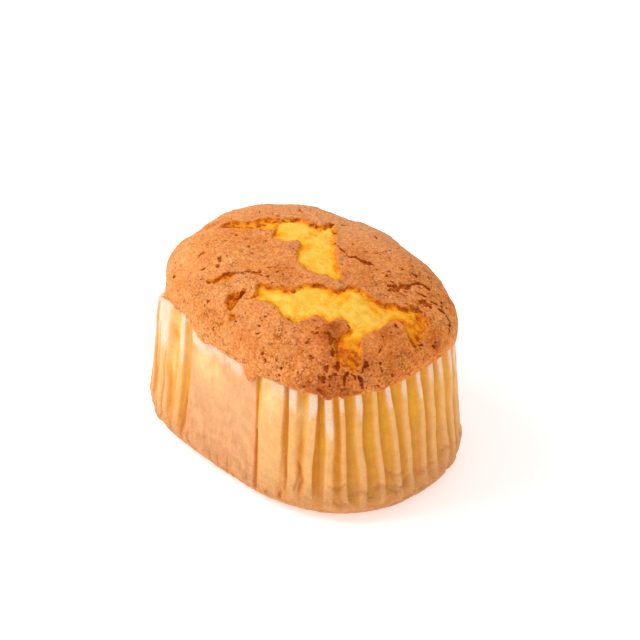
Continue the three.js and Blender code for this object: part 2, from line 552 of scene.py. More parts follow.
def make_pore_group() -> bpy.types.NodeTree:
    """Scattered pores of uneven size with ragged edges, from the cells of a Voronoi pattern.

    A cell holds a pore if its random number is under the share. A second one sets the pore's
    radius, from 0.4 of Radius to all of it, and the edge fades over the outer 0.4 of that.

    Returns:
        The group, with Vector, Scale, Share, Radius and Raggedness in, and Mask out.
    """
    numbers = {"Share": 0.3, "Radius": 0.35, "Raggedness": 0.0002}
    graph, source, result = new_group("Pores", numbers, "Mask")
    wobble_scale = graph.math("MULTIPLY", source.outputs["Scale"], 1.7)
    shifted = graph.warp(source.outputs["Vector"], wobble_scale, source.outputs["Raggedness"])
    cells = graph.add("ShaderNodeTexVoronoi", shifted, voronoi_dimensions="3D", feature="F1")
    graph.feed(cells.inputs["Scale"], source.outputs["Scale"])
    parts = graph.add("ShaderNodeSeparateColor", cells.outputs["Color"])
    held = graph.math("LESS_THAN", parts.outputs[0], source.outputs["Share"])
    size = graph.math("MULTIPLY_ADD", parts.outputs[1], 0.6, 0.4)
    radius = graph.math("MULTIPLY", size, source.outputs["Radius"])
    inner = graph.math("MULTIPLY", radius, 0.6)
    near = graph.remap(cells.outputs["Distance"], radius, inner)
    graph.feed(result.inputs["Mask"], graph.math("MULTIPLY", near, held))
    return graph.tree


def make_crackle_group() -> bpy.types.NodeTree:
    """Broken fine cracks: the borders between warped Voronoi cells, kept only in some places.

    They are kept where a wide noise is over 0.66 - 0.5 * Share, so a higher share keeps more.

    Returns:
        The group, with Vector, Scale, Share and Width in, and Mask out.
    """
    graph, source, result = new_group("Crackle", {"Share": 0.3, "Width": 0.05}, "Mask")
    wobble_scale = graph.math("MULTIPLY", source.outputs["Scale"], 2.2)
    warped = graph.warp(source.outputs["Vector"], wobble_scale, 0.0016)
    cells = graph.add("ShaderNodeTexVoronoi", voronoi_dimensions="3D", feature="DISTANCE_TO_EDGE")
    graph.feed(cells.inputs["Vector"], warped)
    graph.feed(cells.inputs["Scale"], source.outputs["Scale"])
    line = graph.remap(cells.outputs["Distance"], source.outputs["Width"], 0.0)
    kept = graph.add("ShaderNodeTexNoise", source.outputs["Vector"], noise_dimensions="3D")
    graph.feed(kept.inputs["Scale"], graph.math("MULTIPLY", source.outputs["Scale"], 0.9))
    kept.inputs["Detail"].default_value = 3.0
    level = graph.math("MULTIPLY_ADD", source.outputs["Share"], -0.5, 0.66)
    here = graph.remap(kept.outputs["Fac"], level, graph.math("ADD", level, 0.08))
    graph.feed(result.inputs["Mask"], graph.math("MULTIPLY", line, here))
    return graph.tree


class Groups:
    """The node groups that the finishes share, each built once."""

    def __init__(self) -> None:
        """Builds the groups."""
        self.mottle = make_mottle_group()
        self.pores = make_pore_group()
        self.crackle = make_crackle_group()


class Painter(Graph):
    """The graph of one material, with the shared groups and the place on the piece at hand."""

    def __init__(self, name: str, groups: Groups) -> None:
        """Starts a material with no shader yet.

        Args:
            name: the material's name.
            groups: the shared node groups.
        """
        self.material = bpy.data.materials.new(name)
        self.material.use_nodes = True
        self.material.node_tree.nodes.clear()
        super().__init__(self.material.node_tree)
        self.groups = groups
        self.vector = self.add("ShaderNodeTexCoord").outputs["Object"]

    def mottle(
        self, wavelength: float, detail: float, contrast: float, vector: Socket | None = None
    ) -> Socket:
        """Places soft patches.

        Args:
            wavelength: the size of the patches, in millimetres.
            detail: how many finer layers they have.
            contrast: how far the noise goes each way from its middle before it is cut off.
            vector: the place that they follow, if it isn't the plain one.

        Returns:
            The patches, from 0 to 1.
        """
        inputs = {"Scale": per_metre(wavelength), "Detail": detail, "Contrast": contrast}
        inputs["Vector"] = self.vector if vector is None else vector
        return self.place(self.groups.mottle, inputs)

    def pores(
        self,
        wavelength: float,
        share: Feed,
        radius: float,
        raggedness: float,
        vector: Socket | None = None,
    ) -> Socket:
        """Places scattered pores.

        Args:
            wavelength: the size of the cells, in millimetres.
            share: the share of the cells that hold a pore.
            radius: the largest pore's radius, as a share of a cell.
            raggedness: the reach of the noise on the pores' edges, in metres.
            vector: the place that they follow, if it isn't the plain one.

        Returns:
            The pores' mask, from 0 to 1.
        """
        inputs = {"Share": share, "Radius": radius, "Raggedness": raggedness}
        inputs["Vector"] = self.vector if vector is None else vector
        inputs["Scale"] = per_metre(wavelength)
        return self.place(self.groups.pores, inputs)

    def place(self, group: bpy.types.NodeTree, inputs: dict[str, Feed]) -> Socket:
        """Adds a node group with its named inputs, and gives its output."""
        return self.feed_all(self.add("ShaderNodeGroup", node_tree=group), inputs)

    def stretched(self, turn: float, scale: Triple) -> Socket:
        """The place on the piece turned by radians about +Z and scaled, to stretch a pattern."""
        inputs = {"Vector": self.vector, "Rotation": (0.0, 0.0, turn), "Scale": scale}
        return self.feed_all(self.add("ShaderNodeMapping"), inputs)

    def bumped(self, height: Socket, strength: float, distance: float) -> Socket:
        """Adds a Bump node, whose distance is in metres, and gives the bumped normal."""
        inputs = {"Strength": strength, "Distance": distance, "Height": height}
        return self.feed_all(self.add("ShaderNodeBump"), inputs)

    def finish(self, inputs: dict[str, Feed]) -> bpy.types.Material:
        """Adds the Principled shader and the output.

        Args:
            inputs: what the shader's named inputs get.

        Returns:
            The finished material.
        """
        shader = self.feed_all(self.add("ShaderNodeBsdfPrincipled"), inputs)
        self.add("ShaderNodeOutputMaterial", shader)
        return self.material


# ---- Finishes ----


@dataclass(frozen=True)
class CrustMarks:
    """Masks of what breaks the crust, each from 0 to 1 over the surface."""

    opened: Socket
    pores: Socket
    specks: Socket
    lines: Socket
    crumb_holes: Socket


@dataclass(frozen=True)
class SpongeFinish:
    """Browned crust and yellow crumb of one sponge, told apart by numbers on the mesh.

    The sand colours and the warm tint are multiplied into the crust's own colour; the warm tint
    is painted warm reflected light in the shade at the +X end.
    """

    pale_crust: Colour = linear(251, 177, 110)
    crust: Colour = linear(244, 153, 79)
    brown_crust: Colour = linear(212, 115, 45)
    dark_crust: Colour = linear(176, 80, 22)
    dusty_crust: Colour = linear(236, 161, 111)
    pore: Colour = linear(166, 58, 0)
    sand_dark: Colour = (0.74, 0.56, 0.36)
    sand_light: Colour = (1.1, 1.2, 1.3)
    speck: Colour = linear(190, 78, 4)
    crackle: Colour = linear(200, 94, 22)
    fringe: Colour = linear(238, 140, 44)
    # painted warm reflected light, for the shaded +X end
    painted_warm_bounce: Colour = (1.06, 0.95, 0.74)
    rust: Colour = linear(206, 104, 20)
    deep_rust: Colour = linear(154, 56, 2)
    # the crumb's dark foot under the crust: partly its own colour, partly painted shade under the
    # upper lips
    wall: Colour = linear(190, 86, 14)
    bright_wall: Colour = linear(218, 116, 28)
    amber: Colour = linear(243, 145, 18)
    gold: Colour = linear(255, 179, 44)
    crumb: Colour = linear(255, 203, 86)
    streak_turn: float = math.radians(-45.0)
    streak_scale: Triple = (0.55, 1.0, 1.0)
    dash_turn: float = math.radians(50.0)
    dash_scale: Triple = (0.65, 1.0, 0.55)
    bump_depth: float = 0.0003

    def crust_colour(self, paint: Painter, grain: Socket) -> Socket:
        """The crust's colour: pale to dark by bake and by painted light and shade, in patches and
        grain.

        Args:
            paint: the material's painter.
            grain: a fine pattern that the darkness follows.

        Returns:
            The colour.
        """
        patches = paint.mottle(wavelength=4.5, detail=5.0, contrast=0.2)
        # the bake number also holds painted light and shade
        baked = paint.math("MULTIPLY_ADD", patches, 0.24, paint.attribute("bake_and_light"))
        baked = paint.math("MULTIPLY_ADD", grain, 0.16, baked)
        stops = (
            (0.05, self.pale_crust),
            (0.4, self.crust),
            (0.75, self.brown_crust),
            (1.0, self.dark_crust),
        )
        colour = paint.ramp(baked, stops)
        dull = paint.mottle(wavelength=2.6, detail=4.0, contrast=0.14)
        dull = paint.math("MAXIMUM", paint.math("MULTIPLY", dull, 0.36), paint.attribute("dusty"))
        colour = paint.blend(paint.math("MULTIPLY", dull, 0.8), colour, self.dusty_crust)
        # painted warm reflected light in the shade at the +X end
        painted_warm_bounce = paint.blend(paint.attribute("painted_warm_bounce"), (1.0, 1.0, 1.0), self.painted_warm_bounce)
        colour = paint.blend(1.0, colour, painted_warm_bounce, "MULTIPLY")
        sand = paint.mottle(wavelength=0.5, detail=5.0, contrast=0.26)
        tint = paint.blend(sand, self.sand_dark, self.sand_light)
        return paint.blend(1.0, colour, tint, "MULTIPLY")

    def crumb_colour(self, paint: Painter) -> Socket:
        """The crumb's colour: dark (partly painted shade) at the crust's foot, then amber, gold,
        yellow.

        Args:
            paint: the material's painter.

        Returns:
            The colour.
        """
        streaks = paint.stretched(self.streak_turn, self.streak_scale)
        fluff = paint.mottle(wavelength=1.3, detail=5.0, contrast=0.15, vector=streaks)
        threads = paint.mottle(wavelength=0.5, detail=3.0, contrast=0.25)
        ragged = paint.math("MULTIPLY_ADD", fluff, 0.34, paint.attribute("glow"))
        ragged = paint.math("MULTIPLY_ADD", threads, 0.24, ragged)
        stops = (
            (0.0, self.wall),
            (0.12, self.bright_wall),
            (0.3, self.amber),
            (0.58, self.gold),
            (0.95, self.crumb),
        )
        return paint.ramp(paint.math("SUBTRACT", ragged, 0.37, clamp=True), stops)

    def marks(self, paint: Painter, torn: Socket) -> CrustMarks:
        """Finds the opened crust, its pores, specks and fine cracks, and the holes in the crumb.

        Args:
            paint: the material's painter.
            torn: the depth inside a split, made ragged.

        Returns:
            The masks.
        """
        opened = paint.remap(torn, 0.1, 0.5)
        on_crust = paint.math("SUBTRACT", 1.0, opened)
        share = paint.attribute("pore_share")
        fine = paint.pores(wavelength=1.0, share=share, radius=0.38, raggedness=0.0018)
        dashes = paint.stretched(self.dash_turn, self.dash_scale)
        most = paint.math("MULTIPLY", share, 0.9)
        coarse = paint.pores(1.5, share=most, radius=0.24, raggedness=0.0024, vector=dashes)
        few = paint.math("MULTIPLY", share, 0.5)
        cracks = {"Vector": paint.vector, "Scale": per_metre(1.8), "Share": few, "Width": 0.07}
        cracks = paint.place(paint.groups.crackle, cracks)
        pores = paint.math("MAXIMUM", coarse, paint.remap(paint.attribute("pit"), 0.12, 0.5))
        holes = paint.pores(wavelength=0.9, share=0.4, radius=0.34, raggedness=0.0009)
        return CrustMarks(
            opened=opened,
            pores=paint.math("MULTIPLY", pores, on_crust),
            specks=paint.math("MULTIPLY", fine, on_crust),
            lines=paint.math("MULTIPLY", cracks, on_crust),
            crumb_holes=paint.math("MULTIPLY", paint.math("MULTIPLY", holes, opened), 0.3),
        )

    def bump_height(self, paint: Painter, marks: CrustMarks) -> Socket:
        """The height of the finest relief: lumps and sand, lower in the crumb and in each mark.

        Args:
            paint: the material's painter.
            marks: the masks of what breaks the crust.

        Returns:
            The height for a Bump node.
        """
        lumps = paint.mottle(wavelength=1.7, detail=5.0, contrast=0.25)
        sandy = paint.mottle(wavelength=0.5, detail=5.0, contrast=0.26)
        height = paint.math("MULTIPLY", sandy, 0.4)
        height = paint.math("MULTIPLY_ADD", lumps, 0.6, height)
        height = paint.math("MULTIPLY", height, paint.math("MULTIPLY_ADD", marks.opened, -0.7, 1.0))
        for mask, share in (
            (marks.pores, -0.45),
            (marks.specks, -0.15),
            (marks.lines, -0.7),
            (marks.crumb_holes, -0.6),
        ):
            height = paint.math("MULTIPLY_ADD", mask, share, height)
        return height

    def material(self, groups: Groups) -> bpy.types.Material:
        """Builds the material.

        Args:
            groups: the shared node groups.

        Returns:
            The finished material.
        """
        paint = Painter("sponge_crust", groups)
        grain = paint.mottle(wavelength=0.8, detail=4.0, contrast=0.18)
        crust = self.crust_colour(paint, grain)
        crumb = self.crumb_colour(paint)
        edge = paint.mottle(wavelength=0.7, detail=4.0, contrast=0.25)
        torn = paint.math("MULTIPLY_ADD", edge, 0.6, paint.attribute("crumb"))
        marks = self.marks(paint, torn)

        ragged = paint.math("MULTIPLY", paint.math("SUBTRACT", edge, 0.5), 0.4)
        groove = paint.remap(paint.math("ADD", paint.attribute("groove"), ragged), 0.3, 0.62)
        dark = paint.remap(paint.math("ADD", paint.attribute("dark"), ragged), 0.4, 0.8)
        rusty = paint.blend(paint.remap(edge, 0.25, 0.75), self.deep_rust, self.rust)
        uneven = paint.math("MULTIPLY", dark, paint.remap(grain, 0.1, 0.8, 0.45, 1.0))

        crust = paint.blend(paint.remap(torn, -0.5, 0.15, 0.0, 0.6), crust, self.fringe)
        colour = paint.blend(marks.opened, crust, crumb)
        for share, ink in (
            (marks.crumb_holes, self.amber),
            (paint.math("MULTIPLY", marks.lines, 0.7), self.crackle),
            (paint.math("MULTIPLY", marks.specks, 0.85), self.speck),
            (marks.pores, self.pore),
            (paint.math("MULTIPLY", groove, 0.9), rusty),
            (uneven, self.deep_rust),
        ):
            colour = paint.blend(share, colour, ink)

        height = self.bump_height(paint, marks)
        inputs = {
            "Base Color": colour,
            "Roughness": paint.remap(grain, 0.0, 1.0, 0.7, 0.88),
            "Normal": paint.bumped(height, 1.0, self.bump_depth),
            "Specular IOR Level": 0.06,
            "Subsurface Weight": 0.15,
            "Subsurface Radius": (1.0, 0.5, 0.2),
            "Subsurface Scale": 0.0015,
        }
        return paint.finish(inputs)


@dataclass(frozen=True)
class PaperFinish:
    """Thin greaseproof paper: soaked golden at the crumb, and paler where it stands off."""

    valley: Colour = linear(250, 171, 26)
    valley_low: Colour = linear(237, 156, 64)
    # painted shade in the tight valleys
    deep: Colour = linear(226, 140, 24)
    ridge: Colour = linear(248, 187, 119)
    panel: Colour = linear(241, 178, 123)
    panel_stain: Colour = linear(229, 150, 96)
    # painted light shining through the paper
    light_through_yellow: Colour = linear(255, 212, 142)
    # pale dry paper, also used as painted light along sharp fold edges and over the shaded inside
    # of the rim
    dry: Colour = linear(250, 219, 194)
    foot: Colour = linear(222, 149, 88)
    speck: Colour = linear(192, 108, 50)
    # the creases' colour: partly a fold mark, partly painted shade
    crease_mark_and_shade: Colour = linear(208, 116, 48)
    fibre_scale: Triple = (1.0, 1.0, 0.3)
    bump_depth: float = 0.00025

    def soaked_colour(self, paint: Painter, rise: Socket, blots: Socket, fibres: Socket) -> Socket:
        """The colour of the soaked paper, on the pleats and on the flat panels.

        Args:
            paint: the material's painter.
            rise: the height on the wall, 0 to 1.
            blots: soft patches.
            fibres: patches that are stretched upright.

        Returns:
            The colour.
        """
        clouds = paint.mottle(wavelength=6.0, detail=3.0, contrast=0.2)
        gold = paint.blend(paint.remap(rise, 0.75, 0.2), self.valley, self.valley_low)
        gold = paint.blend(paint.math("MULTIPLY", clouds, 0.25), gold, self.valley_low)
        folded = paint.blend(paint.attribute("lift"), gold, self.ridge)
        # painted shade in the tight valleys
        folded = paint.blend(paint.attribute("deep"), folded, self.deep)
        stain = paint.math("MULTIPLY_ADD", blots, 0.25, paint.math("MULTIPLY", fibres, 0.6))
        stain = paint.math("MULTIPLY", stain, paint.remap(rise, 0.95, 0.2, 0.35, 0.95))
        flat = paint.blend(stain, self.panel, self.panel_stain)
        colour = paint.blend(paint.attribute("panel"), folded, flat)
        # painted light shining through the paper in the glow patches
        return paint.blend(paint.attribute("sunny"), colour, self.light_through_yellow)

    def material(self, groups: Groups) -> bpy.types.Material:
        """Builds the material.

        Args:
            groups: the shared node groups.

        Returns:
            The finished material.
        """
        paint = Painter("baking_paper", groups)
        rise = paint.attribute("rise")
        stretched = paint.stretched(0.0, self.fibre_scale)
        fibres = paint.mottle(wavelength=1.1, detail=4.0, contrast=0.2, vector=stretched)
        fine = paint.mottle(wavelength=0.5, detail=3.0, contrast=0.3)
        blots = paint.mottle(wavelength=2.6, detail=4.0, contrast=0.16)
        colour = self.soaked_colour(paint, rise, blots, fibres)

        footing = paint.math("MULTIPLY_ADD", fine, 0.12, rise)
        colour = paint.blend(paint.remap(footing, 0.42, 0.12, 0.0, 0.8), colour, self.foot)
        # pale dry paper, with painted light along sharp fold edges and over the shaded inside of
        # the rim
        dry = paint.math("MULTIPLY_ADD", fine, 0.16, paint.attribute("dry"))
        veins = paint.math("MULTIPLY_ADD", fibres, -0.45, 1.0)
        paleness = paint.math("MULTIPLY", paint.remap(dry, 0.15, 1.0), veins)
        colour = paint.blend(paleness, colour, self.dry)

        by_height = paint.remap(rise, 0.15, 0.8, 0.92, 1.0)
        shaded = paint.math("MULTIPLY", by_height, paint.remap(fine, 0.0, 1.0, 0.94, 1.03))
        shaded = paint.math("MULTIPLY", shaded, paint.remap(blots, 0.0, 1.0, 1.02, 0.94))
        colour = paint.blend(1.0, colour, shaded, "MULTIPLY")
        specks = paint.pores(wavelength=2.4, share=0.22, radius=0.3, raggedness=0.002)
        low = paint.math("MULTIPLY_ADD", paint.remap(rise, 0.6, 0.2), 0.35, 0.06)
        colour = paint.blend(paint.math("MULTIPLY", specks, low), colour, self.speck)
        # crease lines: partly fold marks, partly painted shade in the creases
        colour = paint.blend(paint.attribute("crease"), colour, self.crease_mark_and_shade)

        height = paint.math("MULTIPLY_ADD", fibres, 0.6, paint.math("MULTIPLY", fine, 0.25))
        height = paint.math("MULTIPLY_ADD", blots, 0.8, height)
        inputs = {
            "Base Color": colour,
            "Roughness": paint.remap(paint.attribute("lift"), 0.0, 1.0, 0.42, 0.58),
            "Normal": paint.bumped(height, 0.4, self.bump_depth),
            "Specular IOR Level": 0.18,
            "Subsurface Weight": 0.3,
            "Subsurface Radius": (1.0, 0.6, 0.3),
            "Subsurface Scale": 0.0012,
        }
        return paint.finish(inputs)


@dataclass(frozen=True)
class FloorFinish:
    """A plain pale matte floor."""

    white: Colour = (0.86, 0.86, 0.86)
    warm: Colour = (0.84, 0.838, 0.832)
    glow: float = 0.45

    def material(self, groups: Groups) -> bpy.types.Material:
        """Builds the material.

        Args:
            groups: the shared node groups.

        Returns:
            The finished material.
        """
        paint = Painter("floor_paint", groups)
        clouds = paint.mottle(wavelength=220.0, detail=2.0, contrast=0.4)
        inputs = {
            "Base Color": paint.blend(clouds, self.white, self.warm),
            "Emission Color": (1.0, 1.0, 1.0),
            "Emission Strength": self.glow,
            "Roughness": 0.9,
            "Specular IOR Level": 0.1,
        }
        return paint.finish(inputs)


# ---- The sponge ----


class Tone(Enum):
    """How light the crumb in a split is: the share of the way from the dark wall to yellow."""

    YELLOW = 1.0
    AMBER = 0.5
    BROWN = 0.25


@dataclass(frozen=True)
class Split:
    """A place where the crust has torn open, as an outline in plan."""

    tone: Tone
    depth: float
    outline: tuple[tuple[float, float], ...]


@dataclass(frozen=True)
class Swelling:
    """A soft swelling of the crust, or a hollow where its height is under 0."""

    place: Triple
    radius: float
    height: float

    def height_at(self, points: Array) -> Array:
        """Its height times exp(-(distance / radius)^2) at each point."""
        away = np.linalg.norm(points - np.array(self.place), axis=1)
        return self.height * bell(away, self.radius)


@dataclass(frozen=True)
class TonePatch:
    """A round patch that is darker than the rest, or paler where its strength is under 0."""

    place: tuple[float, float]
    radius: float
    strength: float

    def strength_at(self, points: Array) -> Array:
        """Its strength times exp(-(distance / radius)^2) at each point, seen in plan."""
        away = np.hypot(points[:, 0] - self.place[0], points[:, 1] - self.place[1])
        return self.strength * bell(away, self.radius)


BACK_SPLIT = Split(
    Tone.YELLOW,
    0.5,
    (
        (-12.1, 1.1), (-12.7, 3.0), (-14.1, 5.0), (-14.6, 7.3), (-13.4, 10.0), (-11.8, 11.2),
        (-8.0, 11.0), (-6.4, 11.9), (-5.7, 15.6), (-2.8, 13.7), (-0.6, 10.5), (2.4, 8.0),
        (5.2, 5.1), (8.0, 2.9), (12.5, -0.3), (12.0, -1.4), (8.9, -1.6), (7.9, -3.2),
        (5.8, -3.2), (2.4, -3.2), (0.2, -2.0), (-2.3, -0.2), (-3.5, 2.8), (-5.0, 3.3),
        (-6.4, 2.6), (-6.7, 0.8), (-8.4, 0.1), (-10.5, 0.5),
    ),
)
BACK_SEAM = Split(
    Tone.AMBER,
    0.4,
    (
        (-26.3, -2.1), (-25.7, -0.1), (-23.9, 1.2), (-21.3, 1.5), (-20.3, 3.8), (-18.3, 5.9),
        (-15.2, 6.5), (-13.2, 4.3), (-12.8, 2.6), (-15.9, 1.6), (-19.2, -0.3), (-21.0, -1.6),
        (-24.7, -2.9),
    ),
)
FRONT_SPLIT = Split(
    Tone.YELLOW,
    0.55,
    (
        (-0.2, -14.2), (1.8, -12.7), (4.2, -12.1), (7.1, -10.7), (8.2, -7.0), (10.1, -5.3),
        (14.2, -3.9), (15.2, -1.6), (16.4, 0.5), (20.2, 0.7), (23.1, 1.4), (24.7, 2.2),
        (26.5, 4.9), (28.0, 5.2), (29.0, 6.9), (32.2, 6.9), (34.4, 5.4), (36.5, 1.6),
        (37.2, -0.3), (35.2, -0.9), (31.7, 0.6), (30.1, 0.7), (28.9, -0.8), (29.3, -5.0),
        (28.5, -8.8), (28.6, -10.1), (31.4, -12.7), (32.7, -13.9), (32.0, -15.4), (28.7, -17.5),
        (26.8, -16.3), (25.0, -14.4), (24.8, -12.8), (25.2, -10.1), (22.9, -9.1), (21.9, -9.9),
        (21.0, -12.6), (18.2, -12.3), (16.5, -13.2), (15.3, -15.4), (14.3, -17.3), (11.8, -18.1),
        (9.3, -17.2), (7.4, -16.7), (3.7, -17.5), (2.3, -17.2),
        (0.9, -18.0), (1.3, -16.5), (0.6, -15.7),
    ),
)
SIDE_SEAM = Split(
    Tone.AMBER,
    0.3,
    ((-11.7, -19.3), (-10.6, -17.2), (-7.7, -15.1), (-7.4, -16.3), (-8.8, -17.9), (-9.9, -19.2)),
)
SIDE_PIT = Split(
    Tone.BROWN,
    0.6,
    (
        (-4.7, -20.2), (-2.5, -18.1), (-1.8, -17.1), (-1.1, -18.4), (-0.6, -22.8), (-1.9, -22.9),
        (-3.6, -21.6),
    ),
)
LOW_PIT = Split(
    Tone.BROWN,
    0.4,
    ((-0.2, -23.6), (1.0, -22.9), (2.2, -23.6), (1.6, -24.6), (0.5, -24.4)),
)
SPLITS = (BACK_SPLIT, BACK_SEAM, FRONT_SPLIT, SIDE_SEAM, SIDE_PIT, LOW_PIT)

FISSURES = (
    ((-25.5, -1.9, 0.3), (-24.3, -0.7, 0.6), (-22.3, -0.9, 0.3)),
    ((-21.8, -0.7, 0.4), (-20.9, 0.1, 0.6), (-20.1, 1.0, 0.3)),
    ((-19.3, 3.2, 0.5), (-18.0, 3.3, 0.85), (-17.0, 3.8, 0.4)),
    (
        (-17.8, 5.1, 0.3), (-16.5, 5.8, 0.4), (-14.6, 6.6, 0.35),
        (-13.2, 8.2, 0.4), (-12.9, 10.3, 0.3),
    ),
    ((-9.8, 10.6, 0.3), (-7.4, 11.1, 0.45), (-5.7, 12.4, 0.3), (-5.7, 15.6, 0.4)),
    ((-4.2, 13.6, 0.35), (-2.9, 13.0, 0.45), (-2.1, 12.8, 0.3)),
    ((9.5, -17.4, 0.1), (11.4, -18.3, 0.25), (13.0, -17.8, 0.15), (14.3, -17.4, 0.1)),
    ((5.3, -12.2, 0.1), (6.1, -11.4, 0.25), (7.4, -10.7, 0.15), (8.1, -8.2, 0.1)),
    ((8.5, -7.0, 0.15), (10.2, -5.4, 0.2), (11.9, -4.5, 0.25), (13.2, -4.5, 0.1)),
    ((14.0, -4.4, 0.1), (15.2, -3.6, 0.25), (15.4, -1.2, 0.1)),
    ((15.8, -0.4, 0.1), (16.7, 0.4, 0.2), (19.6, 0.1, 0.1)),
    ((20.0, 0.4, 0.1), (22.0, 1.2, 0.25), (23.2, 1.3, 0.15)),
    (
        (-11.4, -20.0, 0.45), (-10.7, -18.4, 0.3), (-10.1, -16.9, 0.4),
        (-8.0, -15.4, 0.55), (-6.8, -13.8, 0.45),
    ),
    (
        (-6.9, -13.6, 0.35), (-5.3, -12.4, 0.45), (-3.6, -12.0, 0.62),
        (-2.2, -11.8, 0.62), (-0.9, -11.3, 0.4),
    ),
    ((-3.7, -11.2, 0.25), (-2.4, -9.2, 0.38), (-1.2, -7.5, 0.25)),
    ((-11.2, -8.2, 0.2), (-9.8, -7.0, 0.3), (-8.1, -6.4, 0.34), (-6.7, -6.7, 0.22)),
    ((-20.2, -3.4, 0.25), (-18.8, -3.8, 0.3)),
    ((-17.6, -4.8, 0.15), (-16.3, -5.6, 0.3), (-14.5, -6.5, 0.3)),
    ((-19.9, -5.2, 0.15), (-20.5, -3.8, 0.28), (-20.0, -3.0, 0.2)),
    ((-12.5, -6.4, 0.15), (-12.7, -4.9, 0.3), (-12.4, -4.0, 0.2)),
    ((-22.5, -13.9, 0.25), (-21.5, -13.3, 0.32), (-21.0, -12.4, 0.22)),
    ((-13.5, -14.8, 0.3), (-13.0, -15.4, 0.22)),
    ((-11.6, -16.6, 0.28), (-11.2, -17.1, 0.22)),
    ((-0.2, -18.6, 0.2), (0.8, -17.8, 0.34), (1.8, -17.4, 0.3)),
    ((22.0, 6.4, 0.5), (22.5, 7.8, 1.15), (22.9, 9.8, 1.1), (23.2, 11.4, 0.6)),
    ((28.3, 9.4, 0.6), (29.0, 10.6, 1.3), (30.2, 11.2, 0.8)),
    ((27.4, 6.3, 0.4), (28.2, 6.6, 0.6), (29.4, 6.9, 0.55), (30.8, 7.3, 0.55), (31.9, 7.4, 0.3)),
    ((9.8, 12.7, 0.2), (10.3, 16.3, 0.2), (9.7, 21.7, 0.16)),
    ((2.8, 21.2, 0.25), (5.5, 18.3, 0.2)),
    ((2.5, 13.5, 0.25), (4.2, 12.4, 0.25)),
    ((-17.6, 15.5, 0.3), (-15.6, 14.6, 0.45)),
    ((-24.4, 8.2, 0.35), (-22.4, 6.8, 0.35)),
    ((-21.6, -14.6, 0.25), (-20.5, -12.7, 0.35)),
    ((-14.6, -12.6, 0.3), (-13.8, -14.0, 0.35)),
    ((28.2, 5.7, 0.3), (28.5, 6.9, 0.45), (31.6, 7.7, 0.35)),
    ((20.4, 20.0, 0.25), (22.0, 19.2, 0.3)),
    ((28.5, -19.8, 0.35), (30.4, -18.6, 0.25)),
    ((7.4, -20.5, 0.35), (7.7, -19.6, 0.35)),
    ((21.0, -12.9, 0.2), (19.8, -14.5, 0.35), (19.7, -16.4, 0.25)),
)

